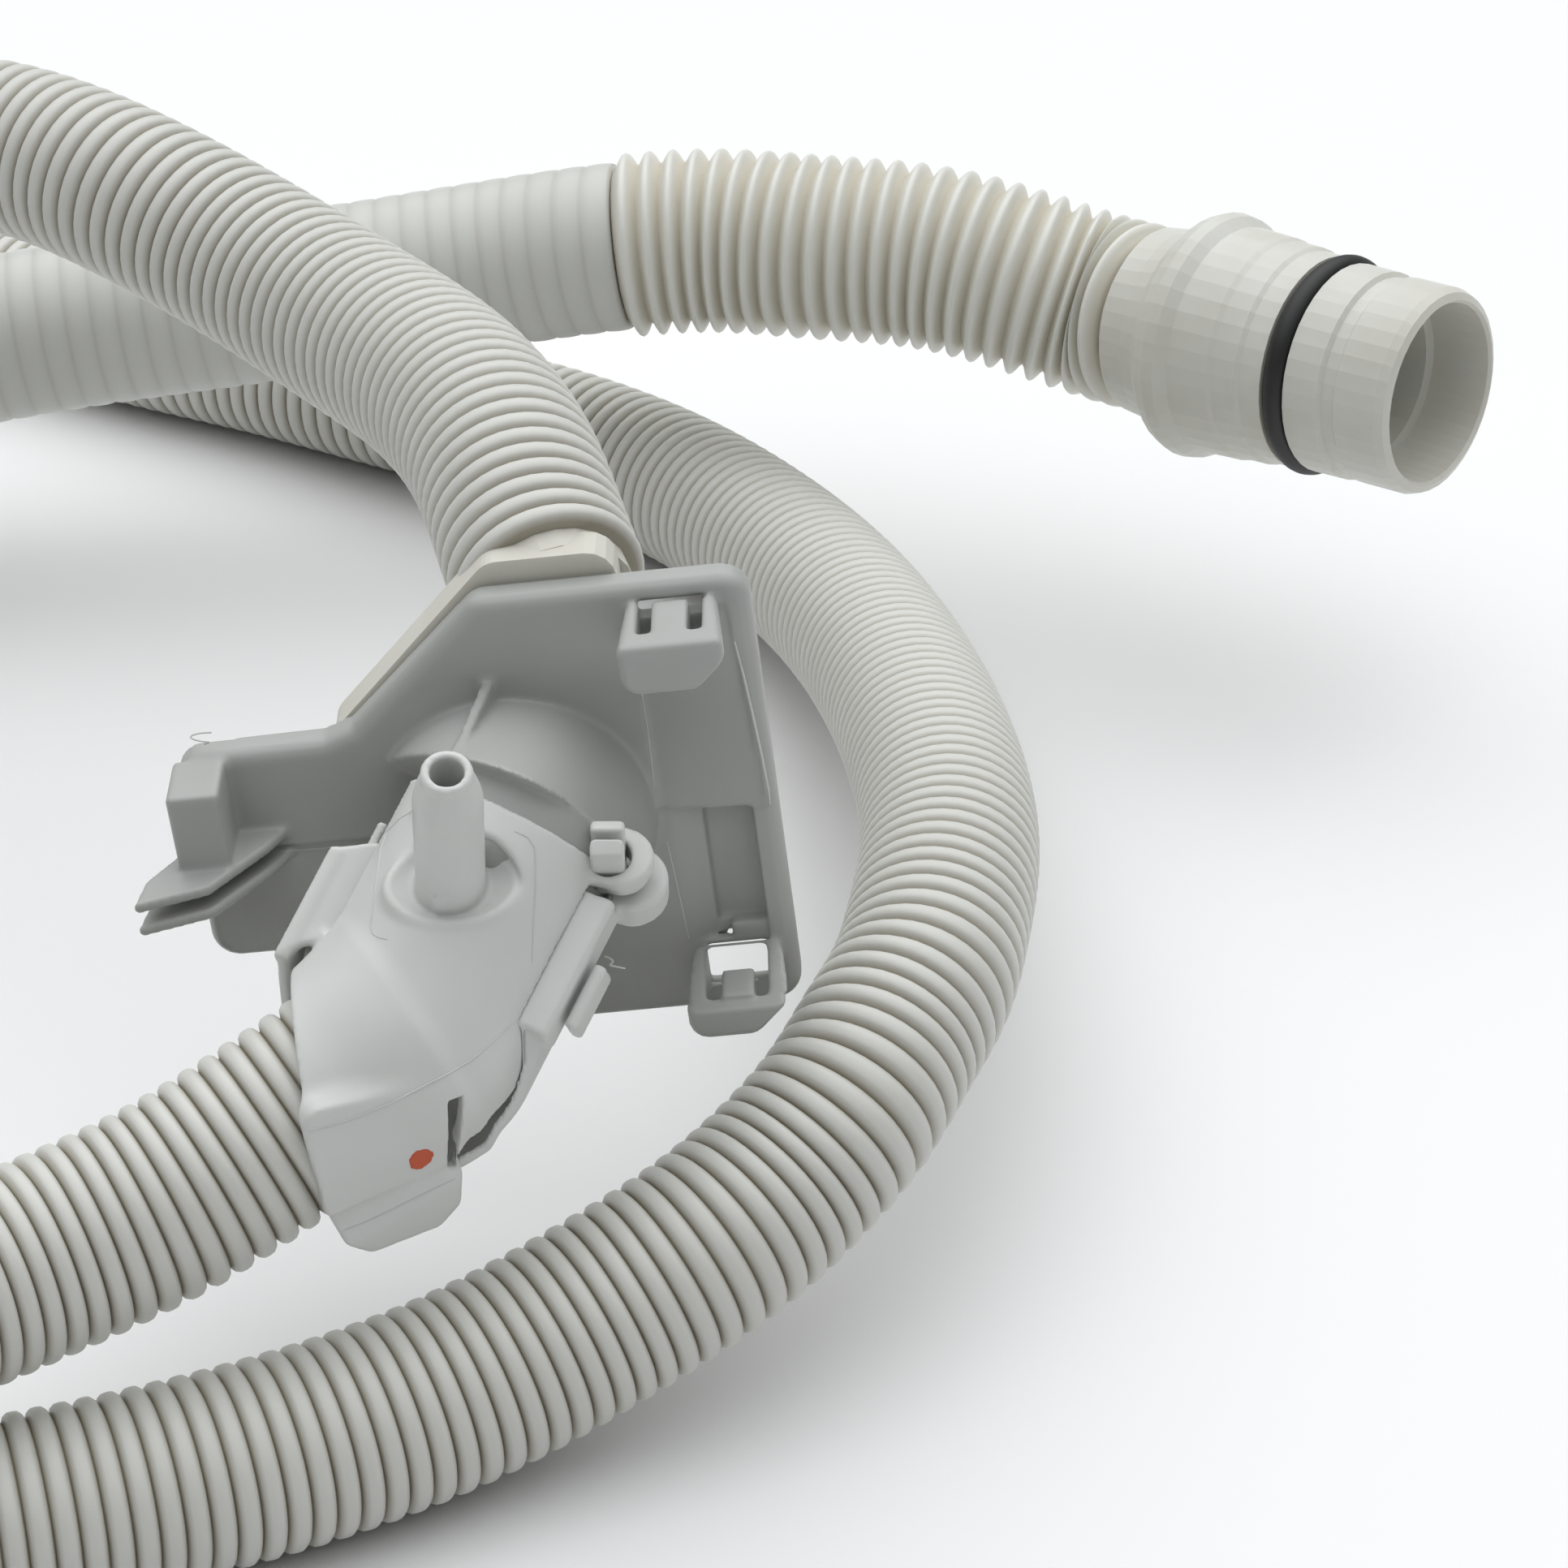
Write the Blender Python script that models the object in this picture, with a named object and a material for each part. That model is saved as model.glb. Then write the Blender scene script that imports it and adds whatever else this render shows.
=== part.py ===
"""Drain hose of a washing machine, lying as it comes out of its bag.

A pump connector with an O-ring ends a soft bellows hose. Past a smooth sleeve a corrugated hose
loops round to an elbow on a wall bracket, and a second corrugated hose leaves the bracket's back
and runs round the floor to a plain drain end. Metres, +Z up, floor at z = 0.
"""

import math

import bmesh
import bpy
import numpy as np
from mathutils import Matrix, Vector

MM = 0.001
SEAT_GAP = 0.3 * MM
# How far a cutter runs past the face it opens
BEYOND = 1.0 * MM
# How long a cutter is that passes right through a piece
RIGHT_THROUGH = 60.0 * MM
ROUTE_STEP = 1.0 * MM

# Hoses
HOSE_OD = 27.0 * MM
SLEEVE_OD = 29.4 * MM
BELLOWS_OD = 32.2 * MM
BELLOWS_PITCH = 3.85 * MM
BELLOWS_DEPTH = 2.3 * MM
BELLOWS_LENGTH = 94.5 * MM
SLEEVE_LENGTH = 178.0 * MM
TUBE_POINT_EVERY = 19.0 * MM
TUBE_LEAD = 1.5 * MM
TUBE_SIDES_RESOLUTION = 4

# Routes in millimetres, from the pump end to the elbow, and from the bracket to the drain end
PUMP_ROUTE = [
    (173, 96, 58.5), (171.5, 97.3, 58.3), (168.4, 99.8, 58), (155, 104.7, 60.3), (137, 110, 63),
    (116, 114.5, 63), (99, 118, 62.5),
    (83, 119, 61), (61, 120.5, 57), (32.5, 119.5, 52.5), (1, 119, 48), (-25.5, 117, 44.5),
    (-69, 110, 36), (-111, 92, 24), (-151, 62, 16.5), (-185, 22, 14.5), (-209, -24, 14),
    (-219, -72, 13.8), (-211, -120, 13.8), (-187, -161, 14), (-149, -189, 16.5), (-107, -199, 25.5),
    (-67, -195, 36), (-29, -177, 42), (15, -146, 42.7), (28, -139, 45.3), (41.8, -131.6, 50.6),
    (53.3, -125.7, 56.1),
]
DRAIN_ROUTE = [
    (80, -79, 103), (78.5, -74.5, 104), (73, -54.5, 107.5), (58, -18.5, 107), (46.5, -1.5, 106),
    (28.5, 18.5, 107.5), (8.5, 34.5, 111), (-11.5, 48.5, 112), (-49, 58, 110), (-87, 60, 101),
    (-125, 48, 84), (-157, 22, 62), (-177, -16, 39), (-182, -56, 22), (-174, -96, 14.5),
    (-151, -134, 13.5), (-117, -160, 13.5), (-79, -172, 13.5), (-39, -174, 13.5),
    (10, -164.5, 13.5), (42, -152.5, 13.5), (65.5, -141, 15), (88, -128.5, 20.5),
    (101.5, -120.5, 25.5), (111.5, -112, 30), (119.5, -103.5, 35), (125.5, -92, 38.5),
    (130, -82, 40.5), (133, -69, 41.5), (135.5, -48.5, 41), (134.5, -16, 37), (130, 17.5, 31),
    (117, 68.5, 21.5), (104.5, 96.5, 17), (89.5, 118.5, 14.5), (71, 135, 13.5), (54.5, 144.5, 13.5),
    (36.5, 154, 13.5), (12.5, 167, 13.5), (-11.5, 178.5, 13.5), (-37.5, 192, 13.5), (-74, 200, 13.5),
    (-111, 200, 13.5), (-140, 192.5, 13.5), (-166, 181, 13.5), (-190, 166, 13.5),
]

# Pump connector, turned about its own axis
CONNECTOR_AXIS = Vector((0.772, -0.630, 0.082)).normalized()
CONNECTOR_LENGTH = 60.0 * MM
CONNECTOR_BODY_R = 19.2 * MM
CONNECTOR_FLANGE_R = 21.2 * MM
CONNECTOR_NOSE_R = 17.5 * MM
CONNECTOR_MOUTH_R = 15.2 * MM
CONNECTOR_BORE_R = 12.0 * MM
CONNECTOR_COUNTERBORE = 17.0 * MM
CONNECTOR_FLANGE_AT = 14.3 * MM
CONNECTOR_STEP_AT = 10.4 * MM
CONNECTOR_EDGE = 0.6 * MM
O_RING_CORD_R = 1.9 * MM
O_RING_CENTRE_R = 16.9 * MM
O_RING_AT = 38.2 * MM
LATHE_SIDES = 40

# Drain end
DRAIN_CUFF_LENGTH = 46.0 * MM
DRAIN_CUFF_BORE_R = 10.5 * MM
DRAIN_CUFF_TAPER = 7.0 * MM
DRAIN_CUFF_LIP = 1.2 * MM
DRAIN_CUFF_BORE_DEPTH = 34.0 * MM

# Bracket plate, in its own frame: X across, Z up, the front face at Y = 0
BRACKET_AT = Vector((71.0, -90.0, 78.0)) * MM
BRACKET_ROLL = math.radians(-6.5)
PLATE_RIGHT = 38.8 * MM
PLATE_TOP = 30.8 * MM
PLATE_BOTTOM = -38.4 * MM
PLATE_LEFT = -42.6 * MM
ARM_TOP = 10.8 * MM
ARM_BOTTOM = -22.6 * MM
SLOPE_TOP_X = 1.5 * MM
SLOPE_FOOT_X = -19.8 * MM
ARM_HEEL_X = -31.0 * MM
PLATE_HEEL_X = -18.0 * MM
PLATE_CORNER_R = 4.0 * MM
PLATE_WALL = 2.2 * MM
PLATE_ROOT = 0.4 * MM
RIM_DEPTH = 4.6 * MM
RIM_WALL = 2.0 * MM
STEP_HEIGHT = -4.6 * MM
STEP_DEPTH = 0.7 * MM
STEP_INSET = 1.2 * MM

# Boss and spigot that carry the elbow
BOSS_X = 2.2 * MM
BOSS_Z = -3.0 * MM
BOSS_BASE_R = 19.4 * MM
BOSS_RIM_R = 17.0 * MM
BOSS_NOSE_R = 15.7 * MM
BOSS_CONE = 11.5 * MM
BOSS_LENGTH = 14.0 * MM
BOSS_RIB_WALL = 1.4 * MM
BOSS_RIB_REACH = 16.0 * MM
BOSS_RIB_FOOT = 5.0 * MM
BOSS_ROOT = 0.6 * MM

# Clips on the front of the plate
CLIP_WIDTH = 13.6 * MM
CLIP_REACH = 12.5 * MM
CLIP_HEIGHT = 7.4 * MM
CLIP_WALL = 2.2 * MM
CLIP_TONGUE = 4.4 * MM
CLIP_TONGUE_REACH = 7.0 * MM
CLIP_TONGUE_DROP = 0.6 * MM
CLIP_CHAMFER = 2.6 * MM
UPPER_CLIP = Vector((28.2, 0.0, 25.2)) * MM
LOWER_CLIP = Vector((30.3, 0.0, -31.0)) * MM
POCKET_WIDTH = 6.8 * MM
POCKET_HEIGHT = 18.4 * MM
POCKET_WALL = 2.0 * MM
POCKET_FLOOR = 1.2 * MM
POCKET_AT = Vector((31.6, 0.0, -15.3)) * MM

# Hook block and duckbill on the plate's left arm
HOOK_X = -39.2 * MM
HOOK_WIDTH = 7.2 * MM
HOOK_REACH = 9.0 * MM
HOOK_TOP = 10.3 * MM
DUCKBILL_Z = -1.5 * MM
DUCKBILL_WALL = 1.5 * MM
DUCKBILL_OPEN = 2.2 * MM
DUCKBILL_PLAN = [
    (-28, 1.2), (-31, -4), (-38.5, -13.5), (-48.5, -16.5), (-47.5, -10.5), (-43.5, -4.5), (-42, 1.2),
]

# Back cover that carries the drain hose on a short collar
COVER_THICKNESS = 6.0 * MM
COVER_RIGHT = 21.0 * MM
COVER_BOTTOM = -12.0 * MM
COVER_LEFT = -21.0 * MM
COVER_TOP = 34.0 * MM
COVER_SLOPE_X = 3.5 * MM
COVER_FOOT_Z = 10.0 * MM
COVER_CORNER_R = 4.0 * MM
COVER_COLLAR_R = 11.0 * MM
COVER_COLLAR_ROOT = 1.5 * MM
DRAIN_START = 5.6 * MM

# Elbow: a leg from the boss that bends to a mouth for the hose, parted into two shells
ELBOW_START = Vector((73.0, -104.0, 77.0)) * MM
ELBOW_BEND = Vector((61.5, -121.5, 60.0)) * MM
HOSE_HEADING = Vector((-0.82, -0.42, -0.39)).normalized()
ELBOW_BEND_REACH = 5.0 * MM
ELBOW_INNER_R = 14.4 * MM
ELBOW_WALL = 1.8 * MM
ELBOW_MOUTH_AT = Vector((49.0, -130.0, 53.0)) * MM
ELBOW_MOUTH_NORMAL = Vector((-0.98, -0.10, -0.15)).normalized()
ELBOW_UP = Vector((0.0, -0.45, 0.89)).normalized()
PARTING_AT_START = math.radians(7.0)
PARTING_ON_LEG = math.radians(2.0)
PARTING_AT_NOSE = math.radians(-12.7)
PARTING_GAP_ANGLE = SEAT_GAP / ELBOW_INNER_R
WINDOW_ANGLE = math.radians(-62.0)
SPIGOT_ROOT = 6.0 * MM
SPIGOT_REACH = 5.5 * MM
SPIGOT_EDGE = 1.0 * MM
NIPPLE_FOOT = Vector((66.0, -112.3, 69.4)) * MM
NIPPLE_LENGTH = 42.0 * MM
NIPPLE_SUNK = 9.0 * MM
NIPPLE_SOLID = 19.0 * MM
NIPPLE_BODY_R = 4.4 * MM
NIPPLE_TIP_R = 3.1 * MM
NIPPLE_BORE_R = 2.05 * MM
NIPPLE_TAPER = 8.0 * MM
TAB_NEAR = -2.0 * MM
TAB_FAR = 18.5 * MM
TAB_TOP = 62.0 * MM
TAB_DROP = 5.0 * MM
TAB_BOTTOM = 39.0 * MM
TAB_IN_FRONT = 14.9 * MM
TAB_WALL = 2.2 * MM
TAB_CORNER_R = 2.8 * MM
EAR_R = 4.2 * MM
EAR_HEIGHT = 2.6 * MM
EAR_GAP = 1.2 * MM
EAR_AT = Vector((91.9, -110.0, 80.0)) * MM
EAR_BAR_WIDTH = 4.0 * MM
EAR_BAR_HEIGHT = 2.0 * MM
UPPER_EAR_ROOT = math.radians(25.0)
LOWER_EAR_ROOT = math.radians(0.0)
PEG_R = 2.1 * MM
PEG_HEAD_R = 2.9 * MM
PEG_HEAD_HEIGHT = 3.0 * MM
PEG_SLOT = 1.2 * MM

# Saddle wall on the bracket, beside the elbow
SADDLE_LINE = [(-17.5, 1.5), (-29.6, -9.0), (-30.4, -20.0)]
SADDLE_WALL = 1.8 * MM
SADDLE_REACH = 16.5 * MM


for thing in list(bpy.data.objects):
    bpy.data.objects.remove(thing)


def material(name, colour, roughness, metallic=0.0):
    """A plain finish in the part's colour."""
    made = bpy.data.materials.new(name)
    made.use_nodes = True
    shader = made.node_tree.nodes["Principled BSDF"]
    shader.inputs["Base Color"].default_value = (*colour, 1.0)
    shader.inputs["Roughness"].default_value = roughness
    shader.inputs["Metallic"].default_value = metallic
    return made


WARM_GREY = material("warm_grey_polypropylene", (0.60, 0.59, 0.54), 0.42)
CREAM = material("cream_polypropylene", (0.66, 0.64, 0.56), 0.38)
SLEEVE_GREY = material("sleeve_grey_vinyl", (0.52, 0.53, 0.50), 0.45)
BRACKET_GREY = material("cool_grey_polypropylene", (0.50, 0.53, 0.52), 0.40)
BLACK_RUBBER = material("black_rubber", (0.02, 0.02, 0.02), 0.5)


def smooth_curve(points, spacing):
    """Points at an even spacing on a smooth curve through a route given in millimetres."""
    knots = np.array(points, float) * MM
    legs = np.linalg.norm(np.diff(knots, axis=0), axis=1)
    at = np.concatenate([[0.0], np.cumsum(legs)])
    count = len(knots)
    system = np.eye(count)
    rhs = np.zeros((count, 3))
    for i in range(1, count - 1):
        system[i, i - 1:i + 2] = legs[i - 1], 2 * (legs[i - 1] + legs[i]), legs[i]
        rhs[i] = 6 * ((knots[i + 1] - knots[i]) / legs[i] - (knots[i] - knots[i - 1]) / legs[i - 1])
    bend = np.linalg.solve(system, rhs)
    fine = np.linspace(0.0, at[-1], 40 * count)
    leg = np.clip(np.searchsorted(at, fine, side="right") - 1, 0, count - 2)
    before = (fine - at[leg])[:, None]
    after = (at[leg + 1] - fine)[:, None]
    h = legs[leg][:, None]
    curve = (bend[leg] * after ** 3 + bend[leg + 1] * before ** 3) / (6 * h)
    curve += (knots[leg] / h - bend[leg] * h / 6) * after
    curve += (knots[leg + 1] / h - bend[leg + 1] * h / 6) * before
    return resample(curve, spacing)


def resample(curve, spacing):
    """The same curve with its points an even distance apart."""
    run = np.concatenate([[0.0], np.cumsum(np.linalg.norm(np.diff(curve, axis=0), axis=1))])
    steps = max(2, round(run[-1] / spacing))
    wanted = np.linspace(0.0, run[-1], steps + 1)
    return np.stack([np.interp(wanted, run, curve[:, axis]) for axis in range(3)], axis=1)


def stretch(curve, start, end):
    """The part of a curve between two distances along it."""
    run = np.concatenate([[0.0], np.cumsum(np.linalg.norm(np.diff(curve, axis=0), axis=1))])
    inside = curve[(run > start + 1e-6) & (run < end - 1e-6)]
    ends = [[np.interp(s, run, curve[:, axis]) for axis in range(3)] for s in (start, end)]
    return np.vstack([[ends[0]], inside, [ends[1]]])


def heading_at(curve, distance):
    """The direction of a curve at a distance along it."""
    run = np.concatenate([[0.0], np.cumsum(np.linalg.norm(np.diff(curve, axis=0), axis=1))])
    low, high = max(0.0, distance - ROUTE_STEP / 2), min(run[-1], distance + ROUTE_STEP / 2)
    ends = [Vector([np.interp(s, run, curve[:, axis]) for axis in range(3)]) for s in (low, high)]
    return (ends[1] - ends[0]).normalized()


def tube_line(curve, start, end):
    """Spaced points along part of a curve, with a short square lead at each end."""
    line = resample(stretch(curve, start, end), TUBE_POINT_EVERY)
    first_lead = line[0] + np.array(heading_at(curve, start)) * TUBE_LEAD
    last_lead = line[-1] - np.array(heading_at(curve, end)) * TUBE_LEAD
    return np.vstack([line[:1], [first_lead], line[1:-1], [last_lead], line[-1:]])


def length_of(curve):
    return float(np.linalg.norm(np.diff(curve, axis=0), axis=1).sum())


def add(name, bm, finish, smooth_angle=math.radians(35)):
    """A mesh object from a finished bmesh."""
    bmesh.ops.remove_doubles(bm, verts=bm.verts, dist=1e-6)
    bmesh.ops.recalc_face_normals(bm, faces=bm.faces)
    mesh = bpy.data.meshes.new(name)
    bm.to_mesh(mesh)
    bm.free()
    made = bpy.data.objects.new(name, mesh)
    bpy.context.scene.collection.objects.link(made)
    if finish:
        mesh.materials.append(finish)
    mesh.shade_smooth()
    mesh.set_sharp_from_angle(angle=smooth_angle)
    return made


def combine(target, other, operation):
    """Joins a solid to another, or cuts it away, and removes the tool."""
    boolean = target.modifiers.new("combine", "BOOLEAN")
    boolean.operation = operation
    boolean.solver = "EXACT"
    boolean.object = other
    bpy.context.view_layer.update()
    depsgraph = bpy.context.evaluated_depsgraph_get()
    result = bpy.data.meshes.new_from_object(target.evaluated_get(depsgraph))
    target.modifiers.remove(boolean)
    target.data = result
    bpy.data.objects.remove(other)
    return target


def join_on(target, *others):
    for other in others:
        combine(target, other, "UNION")
    return target


def cut_out(target, *others):
    for other in others:
        combine(target, other, "DIFFERENCE")
    return target


def box(low, high):
    """A block between two corners."""
    bm = bmesh.new()
    bmesh.ops.create_cube(bm, size=1.0)
    low, high = Vector(low), Vector(high)
    for vert in bm.verts:
        vert.co = Vector((low[i] + (vert.co[i] + 0.5) * (high[i] - low[i]) for i in range(3)))
    return add("block", bm, None)


def slab(outline, y_front, y_back):
    """A flat outline in X and Z, drawn out between two depths."""
    bm = bmesh.new()
    face = bm.faces.new([bm.verts.new((x, y_front, z)) for x, z in outline])
    drawn = bmesh.ops.extrude_face_region(bm, geom=[face])
    moved = [v for v in drawn["geom"] if isinstance(v, bmesh.types.BMVert)]
    bmesh.ops.translate(bm, verts=moved, vec=(0.0, y_back - y_front, 0.0))
    return add("slab", bm, None)


def rounded(corners, radius, steps=4):
    """A polygon's outline with each corner turned on a radius."""
    outline = []
    for i, corner in enumerate(corners):
        here = Vector(corner)
        back = (Vector(corners[i - 1]) - here).normalized()
        ahead = (Vector(corners[(i + 1) % len(corners)]) - here).normalized()
        half = back.angle(ahead) / 2
        reach = radius / math.tan(half)
        centre = here + (back + ahead).normalized() * radius / math.sin(half)
        first, last = here + back * reach - centre, here + ahead * reach - centre
        turn = math.atan2(first.x * last.y - first.y * last.x, first.dot(last))
        for k in range(steps + 1):
            angle = turn * k / steps
            c, s = math.cos(angle), math.sin(angle)
            outline.append((centre.x + c * first.x - s * first.y, centre.y + s * first.x + c * first.y))
    return outline


def frame_at(origin, heading):
    """A placing whose Z axis runs along a heading."""
    return Matrix.Translation(origin) @ heading.to_track_quat("Z", "Y").to_matrix().to_4x4()


def turned(name, profile, placing, finish, sides=LATHE_SIDES):
    """A closed profile of (radius, height), spun about Z and then placed."""
    bm = bmesh.new()
    rings = []
    for radius, height in profile:
        if radius < 1e-9:
            rings.append([bm.verts.new((0, 0, height))])
            continue
        angles = [2 * math.pi * k / sides for k in range(sides)]
        rings.append([bm.verts.new((radius * math.cos(a), radius * math.sin(a), height)) for a in angles])
    closed = len(rings[0]) > 1
    for i in range(len(rings) if closed else len(rings) - 1):
        first, second = rings[i], rings[(i + 1) % len(rings)]
        for k in range(sides):
            k2 = (k + 1) % sides
            corners = [first[k % len(first)], first[k2 % len(first)]]
            corners += [second[k2 % len(second)], second[k % len(second)]]
            bm.faces.new(list(dict.fromkeys(corners)))
    bmesh.ops.transform(bm, matrix=placing, verts=bm.verts)
    return add(name, bm, finish)


def ringed_tube(name, curve, radii, finish, sides, start_heading, end_heading):
    """A solid tube along a curve, with its own radius at each point and set end faces."""
    bm = bmesh.new()
    points = [Vector(p) for p in curve]
    rings = []
    side = None
    for i, point in enumerate(points):
        heading = (points[min(i + 1, len(points) - 1)] - points[max(i - 1, 0)]).normalized()
        if i == 0:
            heading = start_heading
        if i == len(points) - 1:
            heading = end_heading
        if side is None:
            side = heading.cross(Vector((0, 0, 1))).normalized()
        side = (side - heading * side.dot(heading)).normalized()
        up = side.cross(heading)
        angles = [2 * math.pi * k / sides for k in range(sides)]
        ring = [point + (side * math.cos(a) + up * math.sin(a)) * radii[i] for a in angles]
        rings.append([bm.verts.new(p) for p in ring])
    for first, second in zip(rings, rings[1:]):
        for k in range(sides):
            k2 = (k + 1) % sides
            bm.faces.new([first[k], first[k2], second[k2], second[k]])
    bm.faces.new(rings[0])
    bm.faces.new(rings[-1])
    return add(name, bm, finish)


def plain_tube(name, curve, diameter, finish):
    """A free hose as a curve with a round bevel and filled caps."""
    data = bpy.data.curves.new(name, "CURVE")
    data.dimensions = "3D"
    spline = data.splines.new("POLY")
    spline.points.add(len(curve) - 1)
    for point, place in zip(spline.points, curve):
        point.co = (*place, 1.0)
    data.bevel_depth = diameter / 2
    data.bevel_resolution = TUBE_SIDES_RESOLUTION
    data.use_fill_caps = True
    data.materials.append(finish)
    made = bpy.data.objects.new(name, data)
    bpy.context.scene.collection.objects.link(made)
    return made


# The two routes, each one smooth curve
pump_curve = smooth_curve(PUMP_ROUTE, ROUTE_STEP)
pump_length = length_of(pump_curve)
drain_curve = smooth_curve(DRAIN_ROUTE, ROUTE_STEP)
drain_length = length_of(drain_curve)
drain_hose_line = tube_line(drain_curve, DRAIN_START, drain_length)


# Pump connector: a turned moulding with a flange, an O-ring groove and a thin mouth
def make_connector():
    start = Vector(PUMP_ROUTE[0]) * MM
    heading = CONNECTOR_AXIS
    nose, body, flange = CONNECTOR_NOSE_R, CONNECTOR_BODY_R, CONNECTOR_FLANGE_R
    length = CONNECTOR_LENGTH
    groove_r = O_RING_CENTRE_R - O_RING_CORD_R - SEAT_GAP
    groove_half = O_RING_CORD_R + SEAT_GAP
    flange_at = CONNECTOR_FLANGE_AT
    edge = CONNECTOR_EDGE
    step_at = length - CONNECTOR_STEP_AT
    counter = length - CONNECTOR_COUNTERBORE
    profile = [
        (CONNECTOR_BORE_R, SEAT_GAP),
        (BELLOWS_OD / 2 - BELLOWS_DEPTH, SEAT_GAP),
        (BELLOWS_OD / 2, 2.0 * MM),
        (BELLOWS_OD / 2 + edge, 6.5 * MM),
        (body - 1.6 * MM, 9.5 * MM),
        (flange - 0.9 * MM, flange_at - 2.2 * MM),
        (flange, flange_at),
        (flange - 0.3 * MM, flange_at + 2.0 * MM),
        (body + 0.3 * MM, flange_at + 4.0 * MM),
        (body, flange_at + 11.5 * MM),
        (body - 0.4 * MM, flange_at + 12.5 * MM),
        (body - 0.5 * MM, O_RING_AT - 7.0 * MM),
        (body - 1.0 * MM, O_RING_AT - 6.2 * MM),
        (body - 1.1 * MM, O_RING_AT - groove_half),
        (groove_r, O_RING_AT - groove_half),
        (groove_r, O_RING_AT + groove_half),
        (nose + 0.3 * MM, O_RING_AT + groove_half),
        (nose + 0.2 * MM, step_at - 2.2 * MM - edge),
        (nose - edge, step_at - 2.2 * MM),
        (nose - edge, step_at),
        (nose, step_at + edge),
        (nose, length - 2.2 * MM),
        (nose - edge, length - edge),
        (CONNECTOR_MOUTH_R + 0.5 * MM, length),
        (CONNECTOR_MOUTH_R, length - edge),
        (CONNECTOR_MOUTH_R - 0.4 * MM, counter + 6.0 * MM),
        (CONNECTOR_BORE_R + 1.4 * MM, counter + 6.0 * MM - edge),
        (CONNECTOR_BORE_R + 1.2 * MM, counter),
        (CONNECTOR_BORE_R, counter - edge),
    ]
    placing = frame_at(start, heading)
    turned("pump_connector", profile, placing, CREAM)
    ring = []
    for k in range(12):
        angle = 2 * math.pi * k / 12
        radius = O_RING_CENTRE_R + O_RING_CORD_R * math.cos(angle)
        ring.append((radius, O_RING_AT + O_RING_CORD_R * math.sin(angle)))
    turned("o_ring", ring, placing, BLACK_RUBBER)


# Bellows hose, sleeve and corrugated hose on the pump side
def make_pump_side():
    bellows = stretch(pump_curve, 0.0, BELLOWS_LENGTH)
    count = round(BELLOWS_LENGTH / BELLOWS_PITCH)
    rings = resample(bellows, BELLOWS_LENGTH / (2 * count))
    crest, root = BELLOWS_OD / 2, BELLOWS_OD / 2 - BELLOWS_DEPTH
    radii = [crest if i % 2 else root for i in range(len(rings))]
    end_heading = heading_at(pump_curve, BELLOWS_LENGTH)
    ringed_tube("bellows_hose", rings, radii, CREAM, 20, -CONNECTOR_AXIS, end_heading)
    sleeve_start = BELLOWS_LENGTH + SEAT_GAP
    sleeve_end = BELLOWS_LENGTH + SLEEVE_LENGTH
    sleeve = tube_line(pump_curve, sleeve_start, sleeve_end)
    plain_tube("smooth_sleeve", sleeve, SLEEVE_OD, SLEEVE_GREY)
    hose = tube_line(pump_curve, sleeve_end + SEAT_GAP, pump_length)
    plain_tube("pump_side_hose", hose, HOSE_OD, WARM_GREY)


# Corrugated hose on the drain side, with a plain cuff at its free end
def make_drain_side():
    plain_tube("drain_side_hose", drain_hose_line, HOSE_OD, WARM_GREY)
    end = Vector(drain_curve[-1])
    heading = heading_at(drain_curve, drain_length)
    outer = HOSE_OD / 2 - 0.2 * MM
    length = DRAIN_CUFF_LENGTH
    floor_of_bore = length - DRAIN_CUFF_BORE_DEPTH
    profile = [
        (0.0, SEAT_GAP),
        (outer - 1.0 * MM, SEAT_GAP),
        (outer, 2.0 * MM),
        (outer, length - DRAIN_CUFF_TAPER),
        (outer - DRAIN_CUFF_LIP / 2, length - 0.8 * MM),
        (outer - DRAIN_CUFF_LIP, length),
        (DRAIN_CUFF_BORE_R, length),
        (DRAIN_CUFF_BORE_R, floor_of_bore),
        (0.0, floor_of_bore),
    ]
    turned("drain_end_cuff", profile, frame_at(end, heading), WARM_GREY)


make_connector()
make_pump_side()
make_drain_side()


# Bracket
def plate_outline(grow=0.0):
    corners = [
        (PLATE_RIGHT + grow, PLATE_TOP + grow),
        (SLOPE_TOP_X - grow / 2, PLATE_TOP + grow),
        (SLOPE_FOOT_X - grow / 2, ARM_TOP + grow),
        (PLATE_LEFT - grow, ARM_TOP + grow),
        (PLATE_LEFT - grow, ARM_BOTTOM - grow),
        (ARM_HEEL_X - grow / 2, ARM_BOTTOM - grow),
        (PLATE_HEEL_X - grow / 2, PLATE_BOTTOM - grow),
        (PLATE_RIGHT + grow, PLATE_BOTTOM - grow),
    ]
    return corners


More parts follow.
